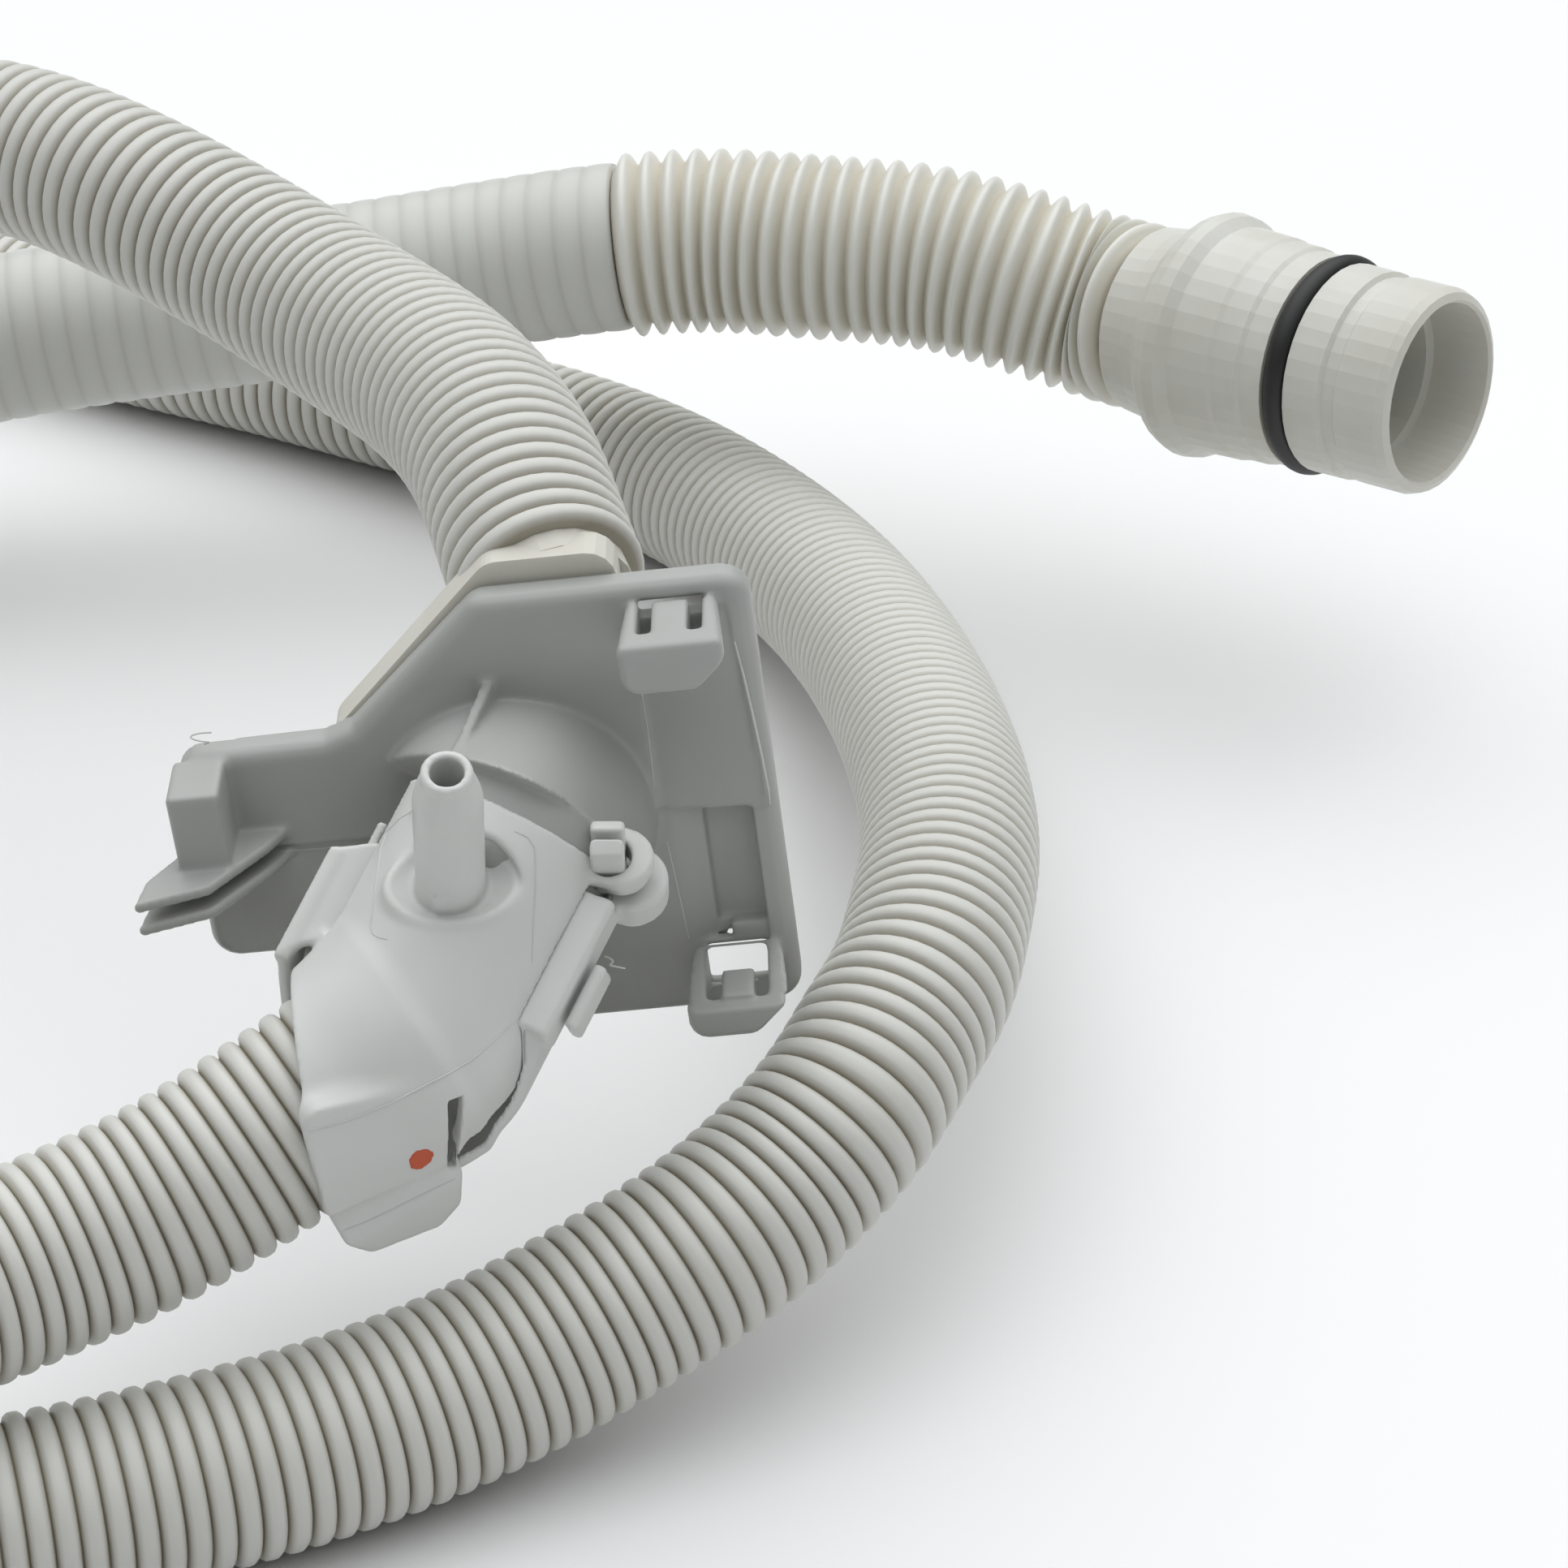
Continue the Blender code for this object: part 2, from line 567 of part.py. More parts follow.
def make_clip(at, opens_up):
    """A U-shaped latch with a springy tongue between its two side walls."""
    half = CLIP_WIDTH / 2
    low, high = at.z - CLIP_HEIGHT / 2, at.z + CLIP_HEIGHT / 2
    body = box((at.x - half, -CLIP_REACH, low), (at.x + half, PLATE_WALL - PLATE_ROOT, high))
    inner = half - CLIP_WALL
    floor = CLIP_WALL if opens_up else -BEYOND
    well = box(
        (at.x - inner, -CLIP_REACH + CLIP_WALL, low + floor),
        (at.x + inner, -SEAT_GAP, high + BEYOND),
    )
    cut_out(body, well)
    tongue_half = CLIP_TONGUE / 2
    tongue = box(
        (at.x - tongue_half, -CLIP_REACH + CLIP_WALL / 2, low + CLIP_WALL / 2),
        (at.x + tongue_half, -CLIP_REACH + CLIP_TONGUE_REACH, high - CLIP_TONGUE_DROP),
    )
    join_on(body, tongue)
    chamfer = [
        (at.x - half - BEYOND, low - BEYOND),
        (at.x + half + BEYOND, low - BEYOND),
        (at.x + half + BEYOND, low + CLIP_CHAMFER),
        (at.x + half - CLIP_CHAMFER + 0.4 * MM, low - 0.2 * MM),
        (at.x - half + CLIP_CHAMFER - 1.2 * MM, low - 0.2 * MM),
        (at.x - half - BEYOND, low + CLIP_CHAMFER - BEYOND),
    ]
    cut_out(body, slab(chamfer, -CLIP_REACH - BEYOND, 2 * BEYOND))
    return body


def make_duckbill():
    """Two thin jaws that open towards the left front, joined along the plate."""
    z = DUCKBILL_Z
    jaws = []
    for drop in (0.0, DUCKBILL_WALL + DUCKBILL_OPEN):
        bm = bmesh.new()
        face = bm.faces.new([bm.verts.new((x * MM, y * MM, z - drop)) for x, y in DUCKBILL_PLAN])
        drawn = bmesh.ops.extrude_face_region(bm, geom=[face])
        moved = [v for v in drawn["geom"] if isinstance(v, bmesh.types.BMVert)]
        bmesh.ops.translate(bm, verts=moved, vec=(0.0, 0.0, -DUCKBILL_WALL))
        jaws.append(add("jaw", bm, None))
    return jaws


def elbow_sections():
    """Centre and heading of each section of the elbow, from the boss to the hose."""
    leg = (ELBOW_BEND - ELBOW_START).normalized()
    reach = ELBOW_BEND_REACH
    sections = [(ELBOW_START, leg), (ELBOW_START.lerp(ELBOW_BEND, 0.5), leg)]
    for k in range(5):
        t = k / 4
        from_leg = ELBOW_BEND - leg * reach * (1 - t)
        to_hose = ELBOW_BEND + HOSE_HEADING * reach * t
        sections.append((from_leg.lerp(to_hose, t), leg.lerp(HOSE_HEADING, t).normalized()))
    sections.append((ELBOW_MOUTH_AT, HOSE_HEADING))
    return sections


def elbow_ring(centre, heading, radius, angles, at_mouth):
    """Points round one section. The last section lies in the slanting plane of the mouth."""
    side = ELBOW_UP.cross(heading).normalized()
    up = heading.cross(side)
    if at_mouth:
        centre = ELBOW_BEND
    ring = [centre + (side * math.cos(a) + up * math.sin(a)) * radius for a in angles]
    if at_mouth:
        slant = HOSE_HEADING.dot(ELBOW_MOUTH_NORMAL)
        ring = [p + HOSE_HEADING * (ELBOW_MOUTH_AT - p).dot(ELBOW_MOUTH_NORMAL) / slant for p in ring]
    return ring


def elbow_shell(name, ranges, steps):
    """One half shell, with its own first and last angle at each section."""
    bm = bmesh.new()
    rows = []
    sections = elbow_sections()
    for i, ((centre, heading), (first, last)) in enumerate(zip(sections, ranges)):
        angles = [first + (last - first) * k / steps for k in range(steps + 1)]
        at_mouth = i == len(sections) - 1
        outside = elbow_ring(centre, heading, ELBOW_INNER_R + ELBOW_WALL, angles, at_mouth)
        inside = elbow_ring(centre, heading, ELBOW_INNER_R, angles[::-1], at_mouth)
        rows.append([bm.verts.new(p) for p in outside + inside])
    around = len(rows[0])
    for first_row, second_row in zip(rows, rows[1:]):
        for k in range(around):
            k2 = (k + 1) % around
            bm.faces.new([first_row[k], first_row[k2], second_row[k2], second_row[k]])
    for row in (rows[0], rows[-1]):
        for k in range(steps):
            bm.faces.new([row[k], row[k + 1], row[around - 2 - k], row[around - 1 - k]])
    return add(name, bm, None)


def make_bracket():
    corners = rounded(plate_outline(), PLATE_CORNER_R)
    plate = slab(corners, 0.0, RIM_DEPTH)
    plate.name = "bracket_plate"
    hollow = rounded(plate_outline(-RIM_WALL), PLATE_CORNER_R - RIM_WALL)
    cut_out(plate, slab(hollow, PLATE_WALL, RIM_DEPTH + BEYOND))
    inset = rounded(plate_outline(-STEP_INSET), PLATE_CORNER_R - STEP_INSET)
    lower = [(x, min(z, STEP_HEIGHT)) for x, z in inset]
    cut_out(plate, slab(lower, -BEYOND, STEP_DEPTH))
    pocket_low = POCKET_AT - Vector((POCKET_WIDTH, 0, POCKET_HEIGHT)) / 2
    pocket_high = POCKET_AT + Vector((POCKET_WIDTH, 0, POCKET_HEIGHT)) / 2
    pocket_wall = box(
        (pocket_low.x - POCKET_WALL, 0.2 * MM, pocket_low.z - POCKET_WALL),
        (pocket_high.x + POCKET_WALL, RIM_DEPTH, pocket_high.z + POCKET_WALL),
    )
    join_on(plate, pocket_wall)
    pocket_floor = RIM_DEPTH - POCKET_FLOOR
    cut_out(plate, box((pocket_low.x, -BEYOND, pocket_low.z), (pocket_high.x, pocket_floor, pocket_high.z)))
    cone = [
        (0.0, 0.0), (BOSS_BASE_R, 0.0), (BOSS_BASE_R - 0.5 * MM, 3.0 * MM), (BOSS_RIM_R, BOSS_CONE),
        (BOSS_NOSE_R, BOSS_CONE + 0.6 * MM), (BOSS_NOSE_R, BOSS_LENGTH - 4.0 * MM),
        (BOSS_NOSE_R - 1.6 * MM, BOSS_LENGTH - 1.4 * MM), (BOSS_NOSE_R - 4.0 * MM, BOSS_LENGTH),
        (0.0, BOSS_LENGTH),
    ]
    out = frame_at(Vector((BOSS_X, BOSS_ROOT, BOSS_Z)), Vector((0, -1, 0)))
    join_on(plate, turned("boss", cone, out, None))
    rib_foot = BOSS_Z + BOSS_RIB_FOOT
    rib = [
        (0.0, BOSS_Z + BOSS_BASE_R + 0.4 * MM), (0.0, rib_foot), (-BOSS_RIB_REACH, rib_foot),
        (-BOSS_RIB_REACH, BOSS_Z + BOSS_NOSE_R + 0.6 * MM),
    ]
    bm = bmesh.new()
    face = bm.faces.new([bm.verts.new((BOSS_X - 1.0 * MM, y, z)) for y, z in rib])
    drawn = bmesh.ops.extrude_face_region(bm, geom=[face])
    moved = [v for v in drawn["geom"] if isinstance(v, bmesh.types.BMVert)]
    bmesh.ops.translate(bm, verts=moved, vec=(BOSS_RIB_WALL, 0, 0))
    join_on(plate, add("rib", bm, None))
    join_on(plate, make_clip(UPPER_CLIP, True), make_clip(LOWER_CLIP, False))
    hook_low = DUCKBILL_Z - 0.5 * MM
    hook = box(
        (HOOK_X - HOOK_WIDTH / 2, -HOOK_REACH, hook_low),
        (HOOK_X + HOOK_WIDTH / 2, PLATE_WALL - PLATE_ROOT, HOOK_TOP),
    )
    join_on(plate, hook, *make_duckbill())
    join_on(plate, strip(SADDLE_LINE, SADDLE_WALL, -SADDLE_REACH, PLATE_WALL - PLATE_ROOT))
    placing = Matrix.Translation(BRACKET_AT) @ Matrix.Rotation(BRACKET_ROLL, 4, "Y")
    plate.data.transform(placing)
    return plate, placing


def make_spigot(plate):
    """Room for the elbow's leg in the boss, and the spigot that plugs into the leg."""
    heading = (ELBOW_BEND - ELBOW_START).normalized()
    room_r = ELBOW_INNER_R + ELBOW_WALL + SEAT_GAP
    room = [(0.0, 0.0), (room_r, 0.0), (room_r, RIGHT_THROUGH), (0.0, RIGHT_THROUGH)]
    cut_out(plate, turned("room", room, frame_at(ELBOW_START - heading * SEAT_GAP, heading), None))
    radius = ELBOW_INNER_R - SEAT_GAP
    length = SPIGOT_ROOT + SPIGOT_REACH
    edge = SPIGOT_EDGE
    profile = [(0.0, 0.0), (radius, 0.0), (radius, length - edge), (radius - edge, length), (0.0, length)]
    root = ELBOW_START - heading * SPIGOT_ROOT
    return join_on(plate, turned("spigot", profile, frame_at(root, heading), None))


def make_cover(placing):
    """The cream back cover, with a collar that the drain hose is pushed on."""
    corners = [
        (COVER_RIGHT, COVER_TOP), (COVER_SLOPE_X, COVER_TOP), (COVER_LEFT, COVER_FOOT_Z),
        (COVER_LEFT, COVER_BOTTOM), (COVER_RIGHT, COVER_BOTTOM),
    ]
    front = RIM_DEPTH + SEAT_GAP
    cover = slab(rounded(corners, COVER_CORNER_R), front, front + COVER_THICKNESS)
    cover.name = "back_cover"
    cover.data.transform(placing)
    hose_start = Vector(drain_hose_line[0])
    heading = (Vector(drain_hose_line[1]) - hose_start).normalized()
    root, end = -DRAIN_START - COVER_COLLAR_ROOT, -SEAT_GAP
    collar = [(0.0, root), (COVER_COLLAR_R, root), (COVER_COLLAR_R, end), (0.0, end)]
    join_on(cover, turned("collar", collar, frame_at(hose_start, heading), None, 24))
    cover.data.materials.clear()
    cover.data.materials.append(CREAM)
    return cover


def strip(line, wall, y_front, y_back):
    """A thin bent wall that follows a line in X and Z."""
    points = [Vector(p) * MM for p in line]
    sides = [[], []]
    for i, point in enumerate(points):
        before = (point - points[i - 1]).normalized() if i else (points[1] - point).normalized()
        after = (points[i + 1] - point).normalized() if i + 1 < len(points) else before
        across = (before + after).normalized()
        normal = Vector((-across.y, across.x)) * wall / 2 / across.dot(before)
        sides[0].append(tuple(point + normal))
        sides[1].append(tuple(point - normal))
    return slab(sides[0] + sides[1][::-1], y_front, y_back)


def keep_out_of_leg(piece):
    """Trims a piece that joins the elbow's leg to the middle of the leg's wall."""
    leg = (ELBOW_BEND - ELBOW_START).normalized()
    middle_r = ELBOW_INNER_R + ELBOW_WALL / 2
    hollow = [(0.0, 0.0), (middle_r, 0.0), (middle_r, RIGHT_THROUGH), (0.0, RIGHT_THROUGH)]
    placing = frame_at(ELBOW_START - leg * RIGHT_THROUGH / 2, leg)
    return cut_out(piece, turned("hollow", hollow, placing, None))


def ear_bar(start, end):
    """A flat bar from a lug to its shell."""
    heading = (end - start).normalized()
    side = ELBOW_UP.cross(heading).normalized()
    placing = Matrix((side, heading.cross(side), heading)).transposed().to_4x4()
    placing.translation = start
    half, thick = EAR_BAR_WIDTH / 2, EAR_BAR_HEIGHT / 2
    bar = box((-half, -thick, 0.0), (half, thick, (end - start).length))
    bar.data.transform(placing)
    return bar


def make_ears(hood, lower):
    """A lug on each shell, one over the other, and the split snap peg that holds them."""
    leg = (ELBOW_BEND - ELBOW_START).normalized()
    wall_r = ELBOW_INNER_R + ELBOW_WALL / 2
    lower_at = EAR_AT - ELBOW_UP * (EAR_HEIGHT + EAR_GAP)
    disc = [(0.0, 0.0), (EAR_R, 0.0), (EAR_R, EAR_HEIGHT), (0.0, EAR_HEIGHT)]
    for shell, at, angle in ((hood, EAR_AT, UPPER_EAR_ROOT), (lower, lower_at, LOWER_EAR_ROOT)):
        root = elbow_ring(ELBOW_START + leg * EAR_BAR_WIDTH * 0.6, leg, wall_r, [angle], False)[0]
        lug = turned("lug", disc, frame_at(at, ELBOW_UP), None, 20)
        join_on(lug, ear_bar(at + ELBOW_UP * EAR_HEIGHT / 2, root))
        join_on(shell, keep_out_of_leg(lug))
    hole_r = PEG_R + SEAT_GAP
    hole_top = EAR_HEIGHT + BEYOND
    hole = [(0.0, -BEYOND), (hole_r, -BEYOND), (hole_r, hole_top), (0.0, hole_top)]
    cut_out(hood, turned("hole", hole, frame_at(EAR_AT, ELBOW_UP), None, 20))
    top = 2 * EAR_HEIGHT + EAR_GAP + SEAT_GAP
    peg = [
        (0.0, EAR_HEIGHT / 2), (PEG_R, EAR_HEIGHT / 2), (PEG_R, top), (PEG_HEAD_R, top + 0.2 * MM),
        (PEG_HEAD_R, top + 1.0 * MM), (PEG_R - 0.5 * MM, top + PEG_HEAD_HEIGHT),
        (0.0, top + PEG_HEAD_HEIGHT),
    ]
    peg_placing = frame_at(lower_at, ELBOW_UP)
    pin = turned("peg", peg, peg_placing, None, 20)
    slot = box(
        (-RIGHT_THROUGH, -PEG_SLOT / 2, EAR_HEIGHT + BEYOND),
        (RIGHT_THROUGH, PEG_SLOT / 2, RIGHT_THROUGH),
    )
    slot.data.transform(peg_placing)
    cut_out(pin, slot)
    join_on(lower, pin)


def make_tab():
    """The flat tongue that hangs from the hood, in front of the hose."""
    along = Vector((HOSE_HEADING.x, HOSE_HEADING.y, 0)).normalized()
    front = Vector((-along.y, along.x, 0))
    outline = rounded([
        (TAB_NEAR, TAB_TOP), (TAB_FAR, TAB_TOP - TAB_DROP), (TAB_FAR, TAB_BOTTOM), (TAB_NEAR, TAB_BOTTOM),
    ], TAB_CORNER_R)
    tab = slab(outline, TAB_IN_FRONT, TAB_IN_FRONT + TAB_WALL)
    placing = Matrix((along, front, Vector((0, 0, 1)))).transposed().to_4x4()
    placing.translation = Vector((ELBOW_BEND.x, ELBOW_BEND.y, 0))
    tab.data.transform(placing)
    return tab


def make_elbow():
    half_gap = PARTING_GAP_ANGLE / 2
    count = len(elbow_sections())
    partings = [PARTING_AT_START, PARTING_ON_LEG] + [PARTING_AT_NOSE] * (count - 2)
    above = [(parting + half_gap, math.pi - parting - half_gap) for parting in partings]
    hood = elbow_shell("elbow_hood", above, 20)
    below = [(math.pi - parting + half_gap, 2 * math.pi + parting - half_gap) for parting in partings]
    below[2:] = [(first, 2 * math.pi + WINDOW_ANGLE) for first, last in below[2:]]
    lower = elbow_shell("elbow_lower_shell", below, 14)
    stem = [
        (0.0, NIPPLE_SUNK), (NIPPLE_BODY_R, NIPPLE_SUNK),
        (NIPPLE_BODY_R, NIPPLE_LENGTH - NIPPLE_TAPER), (NIPPLE_TIP_R + 0.4 * MM, NIPPLE_LENGTH - 2.5 * MM),
        (NIPPLE_TIP_R, NIPPLE_LENGTH - 0.4 * MM), (NIPPLE_TIP_R - 0.3 * MM, NIPPLE_LENGTH),
        (0.0, NIPPLE_LENGTH),
    ]
    placing = frame_at(NIPPLE_FOOT, ELBOW_UP)
    join_on(hood, keep_out_of_leg(turned("stem", stem, placing, None, 24)))
    bore = [
        (0.0, NIPPLE_SOLID), (NIPPLE_BORE_R, NIPPLE_SOLID),
        (NIPPLE_BORE_R, NIPPLE_LENGTH + BEYOND), (0.0, NIPPLE_LENGTH + BEYOND),
    ]
    cut_out(hood, turned("bore", bore, placing, None, 16))
    make_ears(hood, lower)
    join_on(hood, make_tab())
    for shell in (hood, lower):
        shell.data.materials.clear()
        shell.data.materials.append(BRACKET_GREY)


bracket, bracket_placing = make_bracket()
make_spigot(bracket)
bracket.data.materials.clear()
bracket.data.materials.append(BRACKET_GREY)
make_cover(bracket_placing)
make_elbow()
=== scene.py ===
import math

import bmesh
import bpy
import numpy as np
from mathutils import Matrix, Vector
from mathutils.bvhtree import BVHTree


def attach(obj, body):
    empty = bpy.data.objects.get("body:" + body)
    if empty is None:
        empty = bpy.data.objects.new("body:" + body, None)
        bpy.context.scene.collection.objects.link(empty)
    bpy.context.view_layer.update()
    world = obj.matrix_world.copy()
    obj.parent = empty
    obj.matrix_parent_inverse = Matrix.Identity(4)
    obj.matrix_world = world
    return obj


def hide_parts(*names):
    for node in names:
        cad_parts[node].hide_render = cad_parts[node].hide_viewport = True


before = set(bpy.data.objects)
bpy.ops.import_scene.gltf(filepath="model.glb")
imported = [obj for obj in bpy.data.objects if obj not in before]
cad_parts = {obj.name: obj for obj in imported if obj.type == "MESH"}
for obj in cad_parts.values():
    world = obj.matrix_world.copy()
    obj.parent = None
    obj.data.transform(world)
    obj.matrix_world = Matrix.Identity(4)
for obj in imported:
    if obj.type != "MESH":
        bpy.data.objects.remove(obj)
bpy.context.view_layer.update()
MM = 0.001


def add_object(name, data):
    made = bpy.data.objects.new(name, data)
    bpy.context.scene.collection.objects.link(made)
    return made


# Camera: it stands where the photograph was taken from, looking down at 32 degrees with a long
# lens, so the hose's left loops lie outside the frame as they do there.
PHOTO_SIDE = 1932.0
FOCAL_PIXELS = 6000.0
SENSOR_WIDTH = 36.0
camera_data = bpy.data.cameras.new("camera")
camera = add_object("camera", camera_data)
bpy.context.scene.camera = camera
camera_data.sensor_width = SENSOR_WIDTH
camera_data.lens = SENSOR_WIDTH * FOCAL_PIXELS / PHOTO_SIDE
camera_data.clip_start = 0.05
camera_data.clip_end = 20.0
camera.location = (0.111, -0.656, 0.4339)
camera.rotation_euler = (math.radians(58.0), 0.0, 0.0)

# Shared surface: one node group that gives fine grain, faint mottling and small specks to all the
# plastics. Each material feeds it its own colours and amounts.


def new_group(name, sockets_in, sockets_out):
    group = bpy.data.node_groups.new(name, "ShaderNodeTree")
    for label, kind, value in sockets_in:
        socket = group.interface.new_socket(name=label, in_out="INPUT", socket_type=kind)
        if value is not None:
            socket.default_value = value
    for label, kind in sockets_out:
        group.interface.new_socket(name=label, in_out="OUTPUT", socket_type=kind)
    return group, group.nodes.new("NodeGroupInput"), group.nodes.new("NodeGroupOutput")


def wire(tree, source, target):
    tree.links.new(source, target)


def value_node(tree, kind, operation=None, **settings):
    node = tree.nodes.new(kind)
    if operation:
        node.operation = operation
    for key, value in settings.items():
        setattr(node, key, value)
    return node


moulded, g_in, g_out = new_group(
    "moulded_plastic_surface",
    [
        ("Colour", "NodeSocketColor", (0.5, 0.5, 0.5, 1.0)),
        ("Shade Colour", "NodeSocketColor", (0.4, 0.4, 0.38, 1.0)),
        ("Mottle", "NodeSocketFloat", 0.25),
        ("Roughness", "NodeSocketFloat", 0.4),
        ("Grain", "NodeSocketFloat", 0.4),
        ("Dirt", "NodeSocketFloat", 0.1),
    ],
    [
        ("Colour", "NodeSocketColor"),
        ("Roughness", "NodeSocketFloat"),
        ("Height", "NodeSocketFloat"),
    ],
)
coords = value_node(moulded, "ShaderNodeTexCoord")
cloud = value_node(moulded, "ShaderNodeTexNoise")
cloud.inputs["Scale"].default_value = 55.0
cloud.inputs["Detail"].default_value = 5.0
grain = value_node(moulded, "ShaderNodeTexNoise")
grain.inputs["Scale"].default_value = 1900.0
grain.inputs["Detail"].default_value = 3.0
specks = value_node(moulded, "ShaderNodeTexVoronoi")
specks.inputs["Scale"].default_value = 210.0
for texture in (cloud, grain, specks):
    wire(moulded, coords.outputs["Object"], texture.inputs["Vector"])
mottle = value_node(moulded, "ShaderNodeMapRange")
mottle.inputs["From Min"].default_value = 0.35
mottle.inputs["From Max"].default_value = 0.7
wire(moulded, cloud.outputs["Fac"], mottle.inputs["Value"])
mottled = value_node(moulded, "ShaderNodeMath", "MULTIPLY")
wire(moulded, mottle.outputs["Result"], mottled.inputs[0])
wire(moulded, g_in.outputs["Mottle"], mottled.inputs[1])
speck = value_node(moulded, "ShaderNodeMath", "LESS_THAN")
speck.inputs[1].default_value = 0.055
wire(moulded, specks.outputs["Distance"], speck.inputs[0])
dirty = value_node(moulded, "ShaderNodeMath", "MULTIPLY")
wire(moulded, speck.outputs[0], dirty.inputs[0])
wire(moulded, g_in.outputs["Dirt"], dirty.inputs[1])
amount = value_node(moulded, "ShaderNodeMath", "ADD", use_clamp=True)
wire(moulded, mottled.outputs[0], amount.inputs[0])
wire(moulded, dirty.outputs[0], amount.inputs[1])
tint = value_node(moulded, "ShaderNodeMix", data_type="RGBA")
wire(moulded, amount.outputs[0], tint.inputs["Factor"])
wire(moulded, g_in.outputs["Colour"], tint.inputs["A"])
wire(moulded, g_in.outputs["Shade Colour"], tint.inputs["B"])
wire(moulded, tint.outputs["Result"], g_out.inputs["Colour"])
rough = value_node(moulded, "ShaderNodeMath", "MULTIPLY_ADD")
rough.inputs[1].default_value = 0.16
wire(moulded, cloud.outputs["Fac"], rough.inputs[0])
wire(moulded, g_in.outputs["Roughness"], rough.inputs[2])
wire(moulded, rough.outputs[0], g_out.inputs["Roughness"])
height = value_node(moulded, "ShaderNodeMath", "MULTIPLY")
wire(moulded, grain.outputs["Fac"], height.inputs[0])
wire(moulded, g_in.outputs["Grain"], height.inputs[1])
wire(moulded, height.outputs[0], g_out.inputs["Height"])


def plastic(name, colour, shade, roughness, mottle=0.25, grain_strength=0.3, dirt=0.15, soft=0.0):
    """A moulded plastic with the shared surface group. Soft lets a little light into thin walls."""
    made = bpy.data.materials.new(name)
    made.use_nodes = True
    tree = made.node_tree
    shader = tree.nodes["Principled BSDF"]
    surface = tree.nodes.new("ShaderNodeGroup")
    surface.node_tree = moulded
    surface.inputs["Colour"].default_value = (*colour, 1.0)
    surface.inputs["Shade Colour"].default_value = (*shade, 1.0)
    surface.inputs["Mottle"].default_value = mottle
    surface.inputs["Roughness"].default_value = roughness
    surface.inputs["Grain"].default_value = grain_strength
    surface.inputs["Dirt"].default_value = dirt
    bump = tree.nodes.new("ShaderNodeBump")
    bump.inputs["Strength"].default_value = 0.25
    bump.inputs["Distance"].default_value = 0.0001
    wire(tree, surface.outputs["Colour"], shader.inputs["Base Color"])
    wire(tree, surface.outputs["Roughness"], shader.inputs["Roughness"])
    wire(tree, surface.outputs["Height"], bump.inputs["Height"])
    wire(tree, bump.outputs["Normal"], shader.inputs["Normal"])
    shader.inputs["Subsurface Weight"].default_value = soft
    shader.inputs["Subsurface Radius"].default_value = (0.004, 0.0035, 0.0025)
    shader.inputs["Subsurface Scale"].default_value = 0.6
    return made


# Hoses: extruded and corrugated in a mould, so each is one tube of soft rings on a smooth route.
# The pump side runs from the connector round to the elbow, the drain side from the back cover to
# the drain end. Routes in millimetres.
HOSE_OD = 27.0 * MM
HOSE_PITCH = 3.3 * MM
RING_DEPTH = 1.5 * MM
RING_SECTIONS = 6
RING_SQUEEZE = 0.05
SEAT_GAP = 0.3 * MM
ROUTE_STEP = 1.0 * MM
PUMP_ROUTE = [
    (173, 96, 58.5), (171.5, 97.3, 58.3), (168.4, 99.8, 58), (155, 104.7, 60.3), (137, 110, 63),
    (116, 114.5, 63), (99, 118, 62.5),
    (83, 119, 61), (61, 120.5, 57), (32.5, 119.5, 52.5), (1, 119, 48), (-25.5, 117, 44.5),
    (-69, 110, 36), (-111, 92, 24), (-151, 62, 16.5), (-185, 22, 14.5), (-209, -24, 14),
    (-219, -72, 13.8), (-211, -120, 13.8), (-187, -161, 14), (-149, -189, 16.5), (-107, -199, 25.5),
    (-67, -195, 36), (-29, -177, 42), (15, -146, 42.7), (28, -139, 45.3), (41.8, -131.6, 50.6),
    (53.3, -125.7, 56.1),
]
DRAIN_ROUTE = [
    (80, -79, 103), (78.5, -74.5, 104), (73, -54.5, 107.5), (58, -18.5, 107), (46.5, -1.5, 106),
    (28.5, 18.5, 107.5), (8.5, 34.5, 111), (-11.5, 48.5, 112), (-49, 58, 110), (-87, 60, 101),
    (-125, 48, 84), (-157, 22, 62), (-177, -16, 39), (-182, -56, 22), (-174, -96, 14.5),
    (-151, -134, 13.5), (-117, -160, 13.5), (-79, -172, 13.5), (-39, -174, 13.5),
    (10, -164.5, 13.5), (42, -152.5, 13.5), (65.5, -141, 15), (88, -128.5, 20.5),
    (101.5, -120.5, 25.5), (111.5, -112, 30), (119.5, -103.5, 35), (125.5, -92, 38.5),
    (130, -82, 40.5), (133, -69, 41.5), (135.5, -48.5, 41), (134.5, -16, 37), (130, 17.5, 31),
    (117, 68.5, 21.5), (104.5, 96.5, 17), (89.5, 118.5, 14.5), (71, 135, 13.5), (54.5, 144.5, 13.5),
    (36.5, 154, 13.5), (12.5, 167, 13.5), (-11.5, 178.5, 13.5), (-37.5, 192, 13.5),
    (-74, 200, 13.5), (-111, 200, 13.5), (-140, 192.5, 13.5), (-166, 181, 13.5), (-190, 166, 13.5),
]


